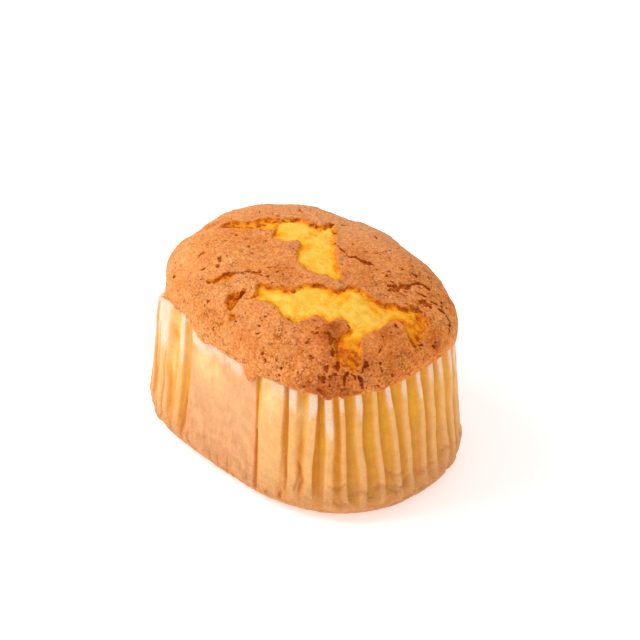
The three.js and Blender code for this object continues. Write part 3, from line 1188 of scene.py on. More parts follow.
DARK_FISSURES = (
    ((-16.5, -17.3, 0.35), (-16.0, -16.8, 0.42)),
    ((-14.1, -20.3, 0.3), (-13.7, -20.0, 0.28)),
    ((-19.8, -11.2, 0.28), (-19.4, -10.9, 0.32)),
    ((-8.3, -23.3, 0.3), (-7.3, -24.0, 0.36)),
    (
        (1.0, 9.2, 0.25), (3.2, 8.2, 0.3), (6.2, 7.8, 0.35),
        (7.6, 7.7, 0.45), (8.2, 8.8, 0.6), (10.2, 8.8, 0.7),
    ),
    ((10.2, 8.8, 0.6), (11.6, 8.9, 0.75), (12.3, 10.0, 0.4), (13.5, 10.0, 0.3)),
    ((-5.0, 17.8, 0.4), (-4.2, 19.7, 0.3)),
    ((-1.3, 20.1, 0.3), (-0.1, 19.9, 0.3)),
    ((19.8, 6.8, 0.25), (20.7, 6.7, 0.45), (21.6, 7.1, 0.3)),
    ((22.4, 8.0, 0.35), (22.8, 9.3, 0.5), (22.7, 10.2, 0.35)),
    ((23.1, 10.9, 0.35), (23.3, 11.9, 0.5)),
    ((20.1, 15.5, 0.25), (20.9, 15.8, 0.45), (21.8, 15.6, 0.3)),
    ((20.7, 19.9, 0.3), (21.7, 19.2, 0.4)),
    ((23.3, 12.8, 0.5), (23.5, 14.5, 0.7), (24.4, 14.8, 0.4)),
    ((24.7, 14.8, 0.3), (25.4, 15.6, 0.4)),
    ((25.4, 11.1, 0.35), (26.3, 11.7, 0.6), (27.3, 12.0, 0.65), (28.1, 12.9, 0.35)),
    ((28.2, 10.4, 0.35), (28.5, 11.4, 0.45)),
    ((29.6, 10.8, 0.5), (30.4, 11.4, 0.4)),
    ((31.9, 13.1, 0.6), (31.4, 14.0, 0.4), (30.8, 15.0, 0.25)),
    ((33.1, 13.7, 0.35), (34.0, 13.3, 0.3)),
    ((34.8, 12.9, 0.3), (35.8, 12.1, 0.35), (36.0, 11.3, 0.25)),
    ((17.2, 15.0, 0.25), (18.1, 15.1, 0.35)),
    ((18.0, 9.5, 0.4), (18.4, 9.8, 0.3)),
    ((20.4, 8.6, 0.35), (20.8, 8.9, 0.35)),
    ((16.7, 11.0, 0.3), (17.1, 11.3, 0.25)),
    ((27.8, 15.8, 0.3), (28.3, 16.0, 0.25)),
    ((29.6, 12.8, 0.35), (29.9, 13.7, 0.35)),
    ((36.8, -0.3, 0.35), (37.3, 0.0, 0.4), (37.2, 1.3, 0.3)),
    (
        (22.4, -14.4, 0.35), (23.4, -14.2, 0.75), (24.2, -14.6, 0.7),
        (26.0, -16.5, 0.35), (27.5, -17.4, 0.25),
    ),
    ((28.9, -17.4, 0.45), (29.4, -18.0, 0.35)),
    ((27.1, -22.0, 0.1), (27.7, -20.6, 0.35)),
    ((33.2, -13.9, 0.25), (33.4, -12.6, 0.5), (33.1, -11.5, 0.25)),
    ((32.8, -8.0, 0.25), (33.2, -8.7, 0.4), (33.5, -9.2, 0.25)),
    ((31.2, -1.2, 0.2), (32.2, -0.4, 0.25)),
    ((-3.4, -21.4, 0.25), (-2.0, -18.0, 0.35), (-1.4, -19.4, 0.3)),
    ((26.5, -21.7, 0.2), (27.4, -20.9, 0.5), (28.3, -20.7, 0.2)),
    ((29.2, -19.1, 0.15), (30.0, -18.4, 0.35), (30.6, -17.7, 0.15)),
    ((27.2, -19.3, 0.4), (27.5, -18.8, 0.35)),
    ((29.1, -17.9, 0.3), (29.5, -17.4, 0.4)),
    ((31.2, -17.8, 0.3), (31.3, -16.9, 0.3)),
    ((31.5, -16.7, 0.15), (32.0, -16.1, 0.35), (32.7, -15.8, 0.15)),
    ((33.1, -15.2, 0.25), (33.6, -14.8, 0.35)),
    ((23.0, -20.4, 0.25), (23.3, -20.1, 0.3)),
    ((24.1, -18.0, 0.25), (24.7, -18.8, 0.3)),
    ((20.4, -16.3, 0.25), (20.9, -15.6, 0.4)),
    ((17.8, -25.0, 0.25), (18.2, -24.8, 0.25)),
    ((35.9, 6.6, 0.3), (36.4, 7.2, 0.3)),
    ((29.8, 7.8, 0.25), (31.5, 7.4, 0.3)),
    ((34.6, -10.9, 0.2), (35.2, -9.9, 0.3), (36.2, -10.5, 0.2)),
    ((3.0, 21.0, 0.2), (5.0, 19.0, 0.25)),
)

SWELLINGS = tuple(
    Swelling(*row)
    for row in (
        ((-33.0, -12.0, 41.0), 4.5, 0.5), ((-36.0, -1.0, 42.0), 3.5, -0.6),
        ((-33.0, 6.5, 44.0), 5.0, 0.8), ((-19.0, 19.0, 45.5), 3.5, 0.7),
        ((-9.0, 25.0, 45.0), 4.0, -0.6), ((0.5, 26.5, 44.0), 6.0, 0.8),
        ((23.0, 25.0, 41.0), 4.0, -0.4), ((28.0, 22.0, 37.5), 4.0, 0.3),
        ((21.5, -13.0, 48.0), 4.0, 0.6), ((32.0, -4.5, 46.5), 4.5, 0.6),
        ((8.0, -20.5, 46.5), 6.0, 0.35), ((-5.0, 0.5, 50.0), 3.5, 0.35),
        ((-14.0, -11.0, 48.0), 7.0, 0.35), ((14.0, 4.0, 50.0), 5.0, 0.3),
        ((-10.0, 18.0, 47.0), 6.0, 0.1),
    )
)

# patches of bake on the crust that also hold painted light and shade: the paler back, the darker
# front and +X end
BAKE_AND_LIGHT_PATCHES = tuple(
    TonePatch(*row)
    for row in (
        ((23.0, 7.6), 4.0, 0.12), ((29.2, 10.2), 3.6, 0.14), ((25.0, -15.2), 2.2, 0.24),
        ((28.6, -17.4), 2.8, 0.16), ((31.6, -14.8), 2.4, 0.24), ((31.8, -3.0), 4.5, 0.26),
        ((32.5, -10.0), 5.5, 0.08), ((22.5, -12.0), 3.6, 0.3), ((18.0, -13.5), 4.0, 0.16),
        ((-4.6, 0.6), 3.2, 0.22), ((16.0, 3.0), 5.0, 0.1), ((-18.0, -6.0), 9.0, 0.1),
        ((2.0, -7.0), 5.0, 0.08), ((31.6, -17.6), 5.0, 0.1), ((27.0, -20.6), 3.5, 0.22),
        ((24.0, -17.0), 6.0, 0.1), ((33.0, 2.0), 7.0, -0.14), ((24.0, 8.0), 7.0, -0.1),
        ((-8.0, 20.0), 14.0, -0.4), ((-6.0, -23.0), 10.0, -0.2), ((-30.0, -12.0), 9.0, -0.12),
        ((38.1, 5.6), 3.5, 0.28), ((33.5, 12.5), 5.5, -0.24), ((-28.0, 4.0), 8.0, -0.1),
    )
)
# darker crumb: partly toasting by the crust, partly painted shade in the splits' hollows and under
# their lips
CRUMB_TOAST_AND_SHADE_PATCHES = tuple(
    TonePatch(*row)
    for row in (
        ((28.6, -14.0), 3.8, 0.62), ((24.6, -13.6), 2.2, 0.6), ((27.0, -15.9), 2.0, 0.45),
        ((30.8, -15.4), 2.4, 0.6), ((15.0, -9.0), 6.0, 0.08), ((4.0, 2.6), 4.5, 0.2),
        ((24.0, 0.6), 3.4, 0.42), ((30.5, 3.6), 4.6, 0.5), ((33.6, 3.4), 3.4, 0.4),
        ((35.6, -0.2), 2.8, 0.62), ((17.2, -7.4), 3.0, 0.08), ((2.4, -14.6), 2.4, 0.3),
        ((-11.4, 2.4), 2.4, 0.35),
    )
)
BROWNED = TonePatch((27.0, -16.5), 9.0, 0.9)  # where the crust beside a split isn't dusty


@dataclass(frozen=True)
class Overhang:
    """A lobe of crust that has run over the case's rim, at a distance round the case."""

    distance: float
    width: float
    drop: float
    reach: float


OVERHANGS = (
    Overhang(-47.2, 1.8, 2.7, 0.4),
    Overhang(-25.6, 1.6, 1.4, 0.35),
    Overhang(-64.5, 2.4, 0.7, 0.2),
    Overhang(-56.0, 2.0, 0.4, 0.1),
    Overhang(-21.5, 0.8, 0.7, 0.2),
    Overhang(-12.0, 1.6, 0.4, 0.15),
    Overhang(34.0, 2.2, 0.8, 0.3),
    Overhang(62.0, 2.8, 1.0, 0.3),
    Overhang(92.0, 1.8, 0.6, 0.2),
)


@dataclass
class Sponge:
    """The cake: a dome of split crust over the rim and a plain body down inside the case.

    The dome is a superellipse in plan and in profile: its height is
    rise * (1 - share^fullness)^(1 / fullness), where share is the size of the oval through a
    point against the widest one.
    """

    outline: Oval = Oval(37.4, 27.8, 2.43, (1.0, 0.8))
    edge_height: float = 36.4
    rise: float = 13.4
    fullness: float = 2.4
    grid: int = 288
    edge_over_rim: float = 0.75
    lip: tuple[tuple[float, float], ...] = (
        (0.02, 0.35), (0.1, 0.7), (0.3, 0.98), (0.7, 1.12), (1.4, 1.2), (2.3, 1.6),
    )
    coarse_noise: SmoothNoise = SmoothNoise(11)
    fine_noise: SmoothNoise = SmoothNoise(12)
    warp_noise: SmoothNoise = SmoothNoise(13)
    pits: PitField = PitField(21, 2.0, 0.28, 0.62)
    upward: tuple[float, float] = (-0.75, 0.72)
    far_from_splits: float = -9.0
    lip_height: float = 0.26
    fluff_height: float = 0.26
    grain_height: float = 0.11
    pit_depth: float = 0.4
    groove_depth: float = 0.34

    def dome_plan(self) -> tuple[Array, Array]:
        """The dome's grid as angle and share of the widest oval.

        A square grid is bent to a disc by x = u sqrt(1 - v^2 / 2), y = v sqrt(1 - u^2 / 2), and
        the distance from the middle is stretched so that steps along the dome are even.

        Returns:
            The angle and the share at each grid point, shape (grid * grid,).
        """
        line = np.linspace(-1.0, 1.0, self.grid)
        u, v = np.meshgrid(line, line)
        x = u * np.sqrt(1.0 - v**2 / 2.0)
        y = v * np.sqrt(1.0 - u**2 / 2.0)
        radius = np.clip(np.hypot(x, y), 0.0, 1.0).ravel()
        share = np.linspace(0.0, 1.0, 2001) ** 0.5
        share = 1.0 - (1.0 - share) ** 2
        height = self.rise * (1.0 - share**self.fullness) ** (1.0 / self.fullness)
        middle = (self.outline.half_length + self.outline.half_width) / 2
        steps = np.hypot(np.diff(share * middle), np.diff(height))
        travelled = np.concatenate([[0.0], np.cumsum(steps)])
        return np.arctan2(y, x).ravel(), np.interp(radius * travelled[-1], travelled, share)

    def smooth_dome(self, angle: Array, share: Array) -> tuple[Array, Array]:
        """The dome before any relief.

        Args:
            angle: the angle of each point in plan.
            share: the share of the widest oval.

        Returns:
            The points and their outward directions, each of shape (n, 3).
        """
        x, y = self.outline.plan(angle, share=share)
        lift = (1.0 - share**self.fullness) ** (1.0 / self.fullness)
        points = np.stack([x, y, self.edge_height + self.rise * lift], axis=1)
        n = self.outline.squareness
        safe = np.maximum(share, 1e-6)
        local_x = (x - self.outline.centre[0]) / self.outline.half_length
        local_y = (y - self.outline.centre[1]) / self.outline.half_width
        common = safe ** (self.fullness - n)
        slope_x = common * np.abs(local_x) ** (n - 1) * np.sign(local_x) / self.outline.half_length
        slope_y = common * np.abs(local_y) ** (n - 1) * np.sign(local_y) / self.outline.half_width
        slope_z = lift ** (self.fullness - 1) / self.rise
        outward = np.stack([slope_x, slope_y, slope_z], axis=1)
        return points, outward / np.linalg.norm(outward, axis=1, keepdims=True)

    def swell(self, points: Array) -> Array:
        """The relief of the named swellings and of soft lumps.

        Args:
            points: places on the smooth dome.

        Returns:
            The relief at each of them.
        """
        lumps = 0.28 * self.coarse_noise.layered(points, 9.0, 3)
        lumps += 0.14 * self.fine_noise.layered(points + 17.0, 4.2, 2)
        return sum((swelling.height_at(points) for swelling in SWELLINGS), start=lumps)

    def ragged_plan(self, points: Array) -> tuple[Array, Array]:
        """The plan of each point, moved by noise so that torn edges come out ragged."""
        moves = [self.warp_noise.layered(points + by, 2.2, 3) for by in (0.0, 50.0)]
        return points[:, 0] + 0.42 * moves[0], points[:, 1] + 0.42 * moves[1]

    def tear(self, points: Array) -> dict[str, Array]:
        """Finds the splits and fissures at each point.

        A split is sunk most under its upper edges, found by looking for the outline a step
        further back, and rises to the crust along its lower ones. Its crumb is painted darker under
        the upper edges as well, as the shade of the overhanging lip.

        Args:
            points: places on the smooth dome.

        Returns:
            "crumb", the depth inside the nearest split; "sunk", how far the surface lies
            below the crust; "glow", from the dark wall at 0 to yellow crumb at 1, with painted
            shade under the upper lips and in some named patches; "groove" and "dark", from 0 to 1
            in all fissures and in the darkest ones; and "dusty", 1 where the crust is dull, beside
            a split or on the far side, less at the shaded +X end.
        """
        x, y = self.ragged_plan(points)
        crumb = np.full(len(points), self.far_from_splits)
        sunk, glow = np.zeros(len(points)), np.zeros(len(points))
        uneven = 0.8 * self.coarse_noise.layered(points + 60.0, 2.6, 3, 0.6)
        # in each split the crumb sinks under the upper lip and bulges in the middle, and is painted
        # darker under the upper lip as its shade
        for split in SPLITS:
            outline = np.array(split.outline)
            inside = depth_inside(x, y, outline)
            behind = depth_inside(x + self.upward[0], y + self.upward[1], outline)
            under_lip = smoothstep(1.4, 0.0, behind)
            bulge = 0.4 * split.tone.value * smoothstep(0.8, 4.2, inside)
            drop = split.depth * smoothstep(-0.1, 0.45, inside) * (0.35 + 0.65 * under_lip) - bulge
            # shade: painted shade under the upper lip, found a step further up and back, and a
            # darker fringe at every edge
            shade = np.minimum(inside + 1.35, behind + 1.95 + 1.2 * uneven)
            light = split.tone.value * smoothstep(-0.3, 3.3, shade)
            sunk = np.maximum(sunk, drop)
            glow = np.maximum(glow, light)
            crumb = np.maximum(crumb, inside)
        # the crumb is darker in toasted blotches, and in named patches that are partly toasting and
        # partly painted shade in the hollows and under the lips
        blotches = smoothstep(0.0, 0.7, self.coarse_noise.layered(points + 140.0, 4.5, 3, 0.6))
        glow = glow * (1.0 - 0.3 * blotches)
        for patch in CRUMB_TOAST_AND_SHADE_PATCHES:
            glow = glow * (1.0 - patch.strength_at(points))
        wander = 0.32 * self.warp_noise.layered(points + 90.0, 1.0, 3, 0.75)
        plain = share_in_chains(x, y, FISSURES, -0.06, 0.32, wander)
        dark = share_in_chains(x, y, DARK_FISSURES, -0.06, 0.32, wander)
        # the crust is dull within a few millimetres of a split, and all over the far side
        cloud = smoothstep(-0.35, 0.35, self.coarse_noise.layered(points + 75.0, 5.0, 3))
        # less dull at the shaded +X end, to keep the warm colour painted there as shade
        shadowed = smoothstep(26.0, 36.0, points[:, 0] + 0.25 * points[:, 1])
        dusty = cloud * smoothstep(3.4, 0.3, -crumb) * (1.0 - 0.6 * shadowed)
        dusty = 0.85 * dusty * (1.0 - BROWNED.strength_at(points))
        far_side = smoothstep(2.0, 26.0, points[:, 1] - 0.35 * points[:, 0])
        dusty = np.maximum(dusty, (0.8 + 0.2 * cloud) * far_side)
        found = {"crumb": crumb, "sunk": sunk, "glow": glow, "dark": dark, "dusty": dusty}
        return {**found, "groove": np.maximum(plain, dark)}

    def pore_share(self, points: Array) -> Array:
        """The share of the crust's cells that hold a pore: high at the front, low at the back.

        Args:
            points: places on the crust.

        Returns:
            The share at each of them, 0 to 1.
        """
        x, y = points[:, 0], points[:, 1]
        front = smoothstep(-26.0, 24.0, 0.75 * x - 0.65 * y)
        low = smoothstep(48.5, 44.0, points[:, 2])
        cloud = self.coarse_noise.layered(points + 33.0, 6.0, 2)
        crowd = 0.45 + 1.15 * smoothstep(-0.5, 0.5, cloud)
        end = smoothstep(14.0, 30.0, x + 0.4 * y) * smoothstep(-14.0, 0.0, y)
        return np.clip((0.08 + 0.42 * front + 0.1 * low * front + 0.3 * end) * crowd, 0.02, 0.75)

    def pit(self, points: Array) -> Array:
        """How deep in a small uneven pit each point of the crust is, from 0 to 1."""
        moves = [self.warp_noise.layered(points + by, 1.2, 2, 0.6) for by in (11.0, 23.0, 37.0)]
        return self.pits.depth(points + 0.4 * np.stack(moves, axis=1), self.pore_share(points))

    def bake_and_light(self, points: Array) -> Array:
        """How baked the crust is at each point, about 0 to 1, with painted light and shade in
        patches.
        """
        level = 0.2 + 0.12 * self.coarse_noise.layered(points + 20.0, 7.0, 3)
        return sum((patch.strength_at(points) for patch in BAKE_AND_LIGHT_PATCHES), start=level)

    def painted_warm_bounce(self, points: Array) -> Array:
        """How much painted warm reflected light the crust's shade gets: 1 at the +X end, between
        both long sides.
        """
        x, y = points[:, 0], points[:, 1]
        return smoothstep(24.0, 39.0, x + 0.4 * y) * smoothstep(-22.0, -6.0, y)

    def relief(self, points: Array, torn: dict[str, Array], share: Array) -> Array:
        """The height of every detail over the smooth dome.

        Args:
            points: places on the smooth dome.
            torn: what tear() found there.
            share: the share of the widest oval, to keep the edge steady.

        Returns:
            The height at each point along its outward direction.
        """
        crust = smoothstep(0.35, -0.1, torn["crumb"])
        lip = self.lip_height * bell(torn["crumb"] + 0.55, 0.75)
        lip = lip * (1.0 + self.fine_noise.layered(points, 3.0, 2))
        fluff = self.fluff_height * self.coarse_noise.layered(points, 3.2, 3)
        fluff = fluff + 0.04 * self.fine_noise.layered(points, 0.9, 2)
        grain = self.grain_height * self.fine_noise.layered(points, 1.5, 4, 0.7)
        pits = self.pit_depth * torn["pit"]
        calm = smoothstep(1.0, 0.97, share) * 0.7 + 0.3
        height = self.swell(points) - torn["sunk"] - self.groove_depth * torn["groove"]
        return calm * (height + lip * crust + fluff * (1.0 - crust) + (grain - pits) * crust)

    def overhang(self, angle: Array, case: "PaperCase") -> tuple[Array, Array]:
        """How far the crust's edge hangs down and reaches out, by noise and in each lobe.

        A lobe fades as exp(-(distance / width)^4), and the noise is read round a circle.

        Args:
            angle: the angle of each point in plan.
            case: the paper case.

        Returns:
            How far it hangs down and how far it reaches out.
        """
        distance = case.outline.distance_at(angle)
        circle = 30.0 * np.stack([np.cos(angle), np.sin(angle), np.zeros_like(angle)], axis=1)
        drop = 0.2 * self.coarse_noise.layered(circle, 3.5, 4, 0.6)
        reach = 0.12 * self.coarse_noise.layered(circle + 9.0, 4.0, 3)
        for lobe in OVERHANGS:
            away = bell(((distance - lobe.distance) / lobe.width) ** 2, 1.0)
            drop += lobe.drop * away
            reach += lobe.reach * away
        return drop, reach

    def edge(self, angle: Array, own: Array, case: "PaperCase") -> tuple[Array, Array, Array]:
        """Where the crust's edge must go to lie over the case's rim, or inside it at the corner.

        Args:
            angle: the angle of each point in plan, round the case's own middle.
            own: how far out the edge of the dome's oval is at that angle.
            case: the paper case.

        Returns:
            How far the dome bulges there, and the distance from the case's middle and the height
            of its edge.
        """
        bends = case.bends(angle)
        rim = case.outline.radius(angle, case.rim_inset) + bends["rim"]
        over = self.edge_over_rim - 0.9 * smoothstep(0.3, -0.4, bends["cover"])
        over = over - 1.8 * smoothstep(-0.5, -1.2, bends["cover"])
        out = np.maximum(own + bends["crust"], rim + bends["cover"])
        return bends["crust"], out, case.height + bends["rise"] + over

    def surface(self, case: "PaperCase") -> Surface:
        """The whole closed surface: dome, lip, body and base.

        Args:
            case: the paper case, whose inside the body follows.

        Returns:
            The surface with the numbers that its finish reads.
        """
        angle, share = self.dome_plan()
        smooth, outward = self.smooth_dome(angle, share)
        torn = self.tear(smooth)
        torn["pit"] = self.pit(smooth)
        height = self.relief(smooth, torn, share)
        dome = smooth + outward * height[:, None]
        turned = np.arctan2(smooth[:, 1], smooth[:, 0])
        own = np.hypot(*self.outline.plan(angle))
        bulge, out, level = self.edge(turned, own, case)
        drop, reach = self.overhang(turned, case)
        near = smoothstep(0.72, 1.0, share)
        close = smoothstep(0.9, 1.0, share)
        push = near * bulge + close * (out + reach - own - bulge)
        dome[:, 0] += push * np.cos(turned)
        dome[:, 1] += push * np.sin(turned)
        dome[:, 2] += near * (level - self.edge_height) - 0.5 * smoothstep(0.93, 1.0, share) * drop

        numbers = np.arange(self.grid * self.grid).reshape(self.grid, self.grid)
        sides = (numbers[0, :-1], numbers[:-1, -1], numbers[-1, :0:-1], numbers[:0:-1, 0])
        rim = np.concatenate(sides)
        rings = self.lower_rings(turned[rim], dome[rim], drop[rim], case)
        rows = [rim] + [len(dome) + i * len(rim) + np.arange(len(rim)) for i in range(len(rings))]
        base = len(dome) + len(rings) * len(rim)
        points = np.concatenate([dome, *rings, [[0.0, 0.0, rings[-1][0, 2]]]])

        cells = np.stack(
            [numbers[:-1, :-1], numbers[:-1, 1:], numbers[1:, 1:], numbers[1:, :-1]], axis=-1
        ).reshape(-1, 4)
        quads = np.concatenate([cells] + [ring_quads(a, b) for a, b in zip(rows, rows[1:])])
        last = rows[-1]
        fan = np.stack([np.full(len(last), base), np.roll(last, -1), last], axis=1)

        below = np.zeros(len(points) - len(dome))
        keys = ("glow", "groove", "dark", "dusty", "pit")
        made = {key: np.concatenate([torn[key], below]) for key in keys}
        made["crumb"] = np.concatenate([np.clip(torn["crumb"], -3.0, 6.0), below - 3.0])
        made["painted_warm_bounce"] = self.painted_warm_bounce(points)
        made["bake_and_light"] = self.bake_and_light(points)
        made["pore_share"] = self.pore_share(points)
        return Surface(points, quads, fan, made)

    def lower_rings(self, angle: Array, rim: Array, drop: Array, case: "PaperCase") -> list[Array]:
        """The rings below the dome: under the lip, into the case and down to the base.

        Args:
            angle: the angle of each rim point in plan.
            rim: the rim points.
            drop: how far the crust hangs down at each of them.
            case: the paper case.

        Returns:
            The rings from the top down, each of shape (n, 3).
        """
        rings = []
        across = np.stack([np.cos(angle), np.sin(angle)], axis=1)
        deepest = self.lip[-1][1]
        for inset, fall in self.lip:
            hang = 0.5 * drop * min(fall / deepest, 1.0) * (1.0 if inset < 0.9 else 0.4)
            xy = rim[:, :2] - inset * across
            rings.append(np.column_stack([xy, rim[:, 2] - fall - hang]))
        for inset, height in case.side_profile(case.pleat_depth + 0.9, 4, 3)[::-1]:
            level = np.ones(len(angle))
            inset, height = case.bent(inset * level, height * level, angle)
            x, y = case.outline.plan(angle, inset=inset)
            rings.append(np.column_stack([x, y, height - 1.2 * smoothstep(34.0, 35.0, height)]))
        return rings

    def build(self, finish: bpy.types.Material, case: "PaperCase") -> bpy.types.Object:
        """Makes the sponge's object, declared to the frame.

        Args:
            finish: the sponge's material.
            case: the paper case that it stands in.

        Returns:
            The object.
        """
        piece = self.surface(case).to_object("castella_sponge", finish)
        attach(piece, "root")
        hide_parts("cake")
        return piece


# ---- The paper case ----


@dataclass(frozen=True)
class Fold:
    """A raised pleat, at distances round the case from the +X tip.

    Its middle goes from foot to rim, half is half its top's width, lift its height as a share
    of the pleat depth, tip the length of its dry end below the rim, and climb and fall the widths
    of its slopes on the near side and on the far side.
    """

    foot: float
    rim: float
    half: float
    lift: float
    tip: float
    climb: float = 1.3
    fall: float = 0.4
    panel: bool = False


@dataclass(frozen=True)
class Shadow:
    """A tight valley, pushed in a little and painted dark as shade, at its foot and rim distances
    round the case.
    """

    foot: float
    rim: float
    half: float
    strength: float


HALF_FOLDS = (
    Fold(-57.6, -57.6, 12.1, 0.5, 0.0, 0.7, 0.7, True),
    Fold(-40.9, -40.6, 4.0, 0.98, 1.6, 0.4, 0.5),
    Fold(-35.0, -34.3, 0.9, 0.95, 4.5, 0.4, 1.8),
    Fold(-30.1, -29.1, 0.95, 1.0, 4.5, 1.9, 0.4),
    Fold(-25.6, -25.4, 0.75, 1.0, 10.0, 0.4, 1.3),
    Fold(-21.4, -22.3, 0.5, 0.9, 3.0, 0.8, 0.35),
    Fold(-17.0, -18.1, 0.7, 0.95, 5.0, 1.0, 0.35),
    Fold(-12.3, -13.5, 0.5, 0.9, 1.3, 0.7, 0.4),
    Fold(-7.8, -9.7, 0.6, 0.95, 4.5, 1.0),
    Fold(-3.9, -5.1, 0.65, 0.95, 5.0, 1.0),
    Fold(1.0, -0.3, 0.55, 0.95, 6.0, 1.0),
    Fold(4.9, 3.9, 0.7, 0.95, 5.5),
    Fold(9.0, 8.4, 0.7, 0.95, 5.5),
    Fold(33.3, 33.7, 3.3, 0.95, 8.0, 0.8, 0.8),
    Fold(42.0, 42.6, 1.0, 0.9, 10.5, 0.9, 0.6),
)
HALF_SHADOWS = (
    Shadow(-71.6, -70.6, 0.55, 0.8),
    Shadow(-45.2, -45.0, 0.3, 0.55),
    Shadow(-37.9, -36.0, 0.5, 0.6),
    Shadow(-28.0, -27.2, 0.5, 1.0),
    Shadow(-20.0, -20.7, 0.6, 0.35),
    Shadow(-15.6, -16.3, 0.5, 0.35),
    Shadow(-6.4, -7.8, 0.6, 0.2),
    Shadow(-81.6, -81.2, 0.5, 0.4),
)
PLAIN_FOLDS = (12.9, 27.2)

# creases, raised in the paper and coloured partly as fold marks, partly as painted shade
CREASES = (
    ((-38.4, 3.4, 0.15), (-37.9, 5.0, 0.4), (-37.3, 6.4, 0.12)),
    ((-18.0, 3.7, 0.1), (-16.2, 4.4, 0.3), (-14.0, 4.2, 0.12)),
    ((-54.8, 5.6, 0.15), (-54.5, 7.6, 0.1)),
    ((-72.6, 9.8, 0.15), (-71.6, 11.2, 0.4), (-71.2, 12.6, 0.12)),
    ((-84.6, 4.0, 0.1), (-84.2, 16.0, 0.2), (-83.9, 29.0, 0.06)),
    ((-81.2, 4.0, 0.15), (-80.8, 14.0, 0.22), (-80.5, 25.0, 0.06)),
    ((-71.9, 4.0, 0.3), (-71.6, 9.0, 0.4), (-71.2, 16.0, 0.1)),
    ((-45.2, 4.0, 0.25), (-45.1, 9.0, 0.3), (-45.0, 20.0, 0.08)),
    ((-24.0, 6.2, 0.1), (-22.6, 5.4, 0.3), (-21.4, 5.8, 0.1)),
    ((-9.8, 7.6, 0.1), (-8.6, 8.2, 0.2), (-7.2, 7.6, 0.1)),
    ((-3.0, 9.8, 0.1), (-1.6, 9.2, 0.25), (0.2, 9.6, 0.1)),
    ((13.5, 8.6, 0.1), (15.0, 7.8, 0.25), (16.2, 7.0, 0.1)),
    ((-34.0, 8.0, 0.1), (-32.2, 13.4, 0.16), (-33.0, 15.6, 0.08)),
    ((-11.2, 13.4, 0.12), (-8.8, 11.1, 0.3), (-6.4, 11.3, 0.12)),
    ((-14.8, 8.5, 0.12), (-12.7, 9.8, 0.28), (-9.7, 8.0, 0.14)),
    ((-8.8, 6.8, 0.15), (-5.9, 8.1, 0.3), (-4.5, 10.2, 0.12)),
    ((-20.2, 7.7, 0.12), (-17.5, 9.0, 0.28), (-14.4, 7.2, 0.15)),
    ((-2.9, 7.9, 0.12), (0.3, 8.6, 0.28), (3.5, 9.2, 0.12)),
    ((-32.5, 13.1, 0.15), (-31.7, 10.7, 0.34), (-32.7, 8.2, 0.15)),
    ((-25.0, 10.4, 0.12), (-23.0, 9.2, 0.3), (-21.4, 11.3, 0.12)),
    ((6.7, 9.1, 0.12), (8.6, 10.5, 0.26), (9.8, 9.6, 0.12)),
    ((60.5, 6.0, 0.12), (61.2, 8.2, 0.1)),
    ((72.0, 9.4, 0.12), (74.2, 8.2, 0.28), (76.6, 9.6, 0.12)),
    ((86.0, 7.4, 0.12), (88.4, 9.0, 0.28), (90.2, 8.0, 0.12)),
    ((97.0, 5.0, 0.12), (98.4, 6.6, 0.25), (99.6, 6.2, 0.1)),
)


@dataclass(frozen=True)
class Glow:
    """A patch where light comes through the paper, round a place on the wall."""

    distance: float
    height: float
    half_width: float
    half_height: float


GLOWS = (
    Glow(-63.6, 29.5, 4.0, 4.0),
    Glow(-59.8, 31.0, 2.0, 6.0),
    Glow(-40.2, 31.5, 2.4, 4.5),
    Glow(-77.4, 27.0, 1.3, 7.0),
    Glow(-75.2, 30.0, 3.2, 7.0),
    Glow(-79.4, 31.0, 2.4, 8.0),
    Glow(-83.0, 30.0, 3.0, 7.0),
    Glow(-32.2, 30.0, 1.0, 6.0),
)


@dataclass(frozen=True)
class Bend:
    """How the case is bent out of its oval at an angle in degrees: lengths in millimetres.

    The rim rises and is pushed out, the belly and the foot are pushed out, crust is how far the
    dome bulges out past its oval, and cover how far its edge reaches out past the rim.
    """

    angle: float
    rise: float
    rim: float
    belly: float
    foot: float
    crust: float
    cover: float = 0.45


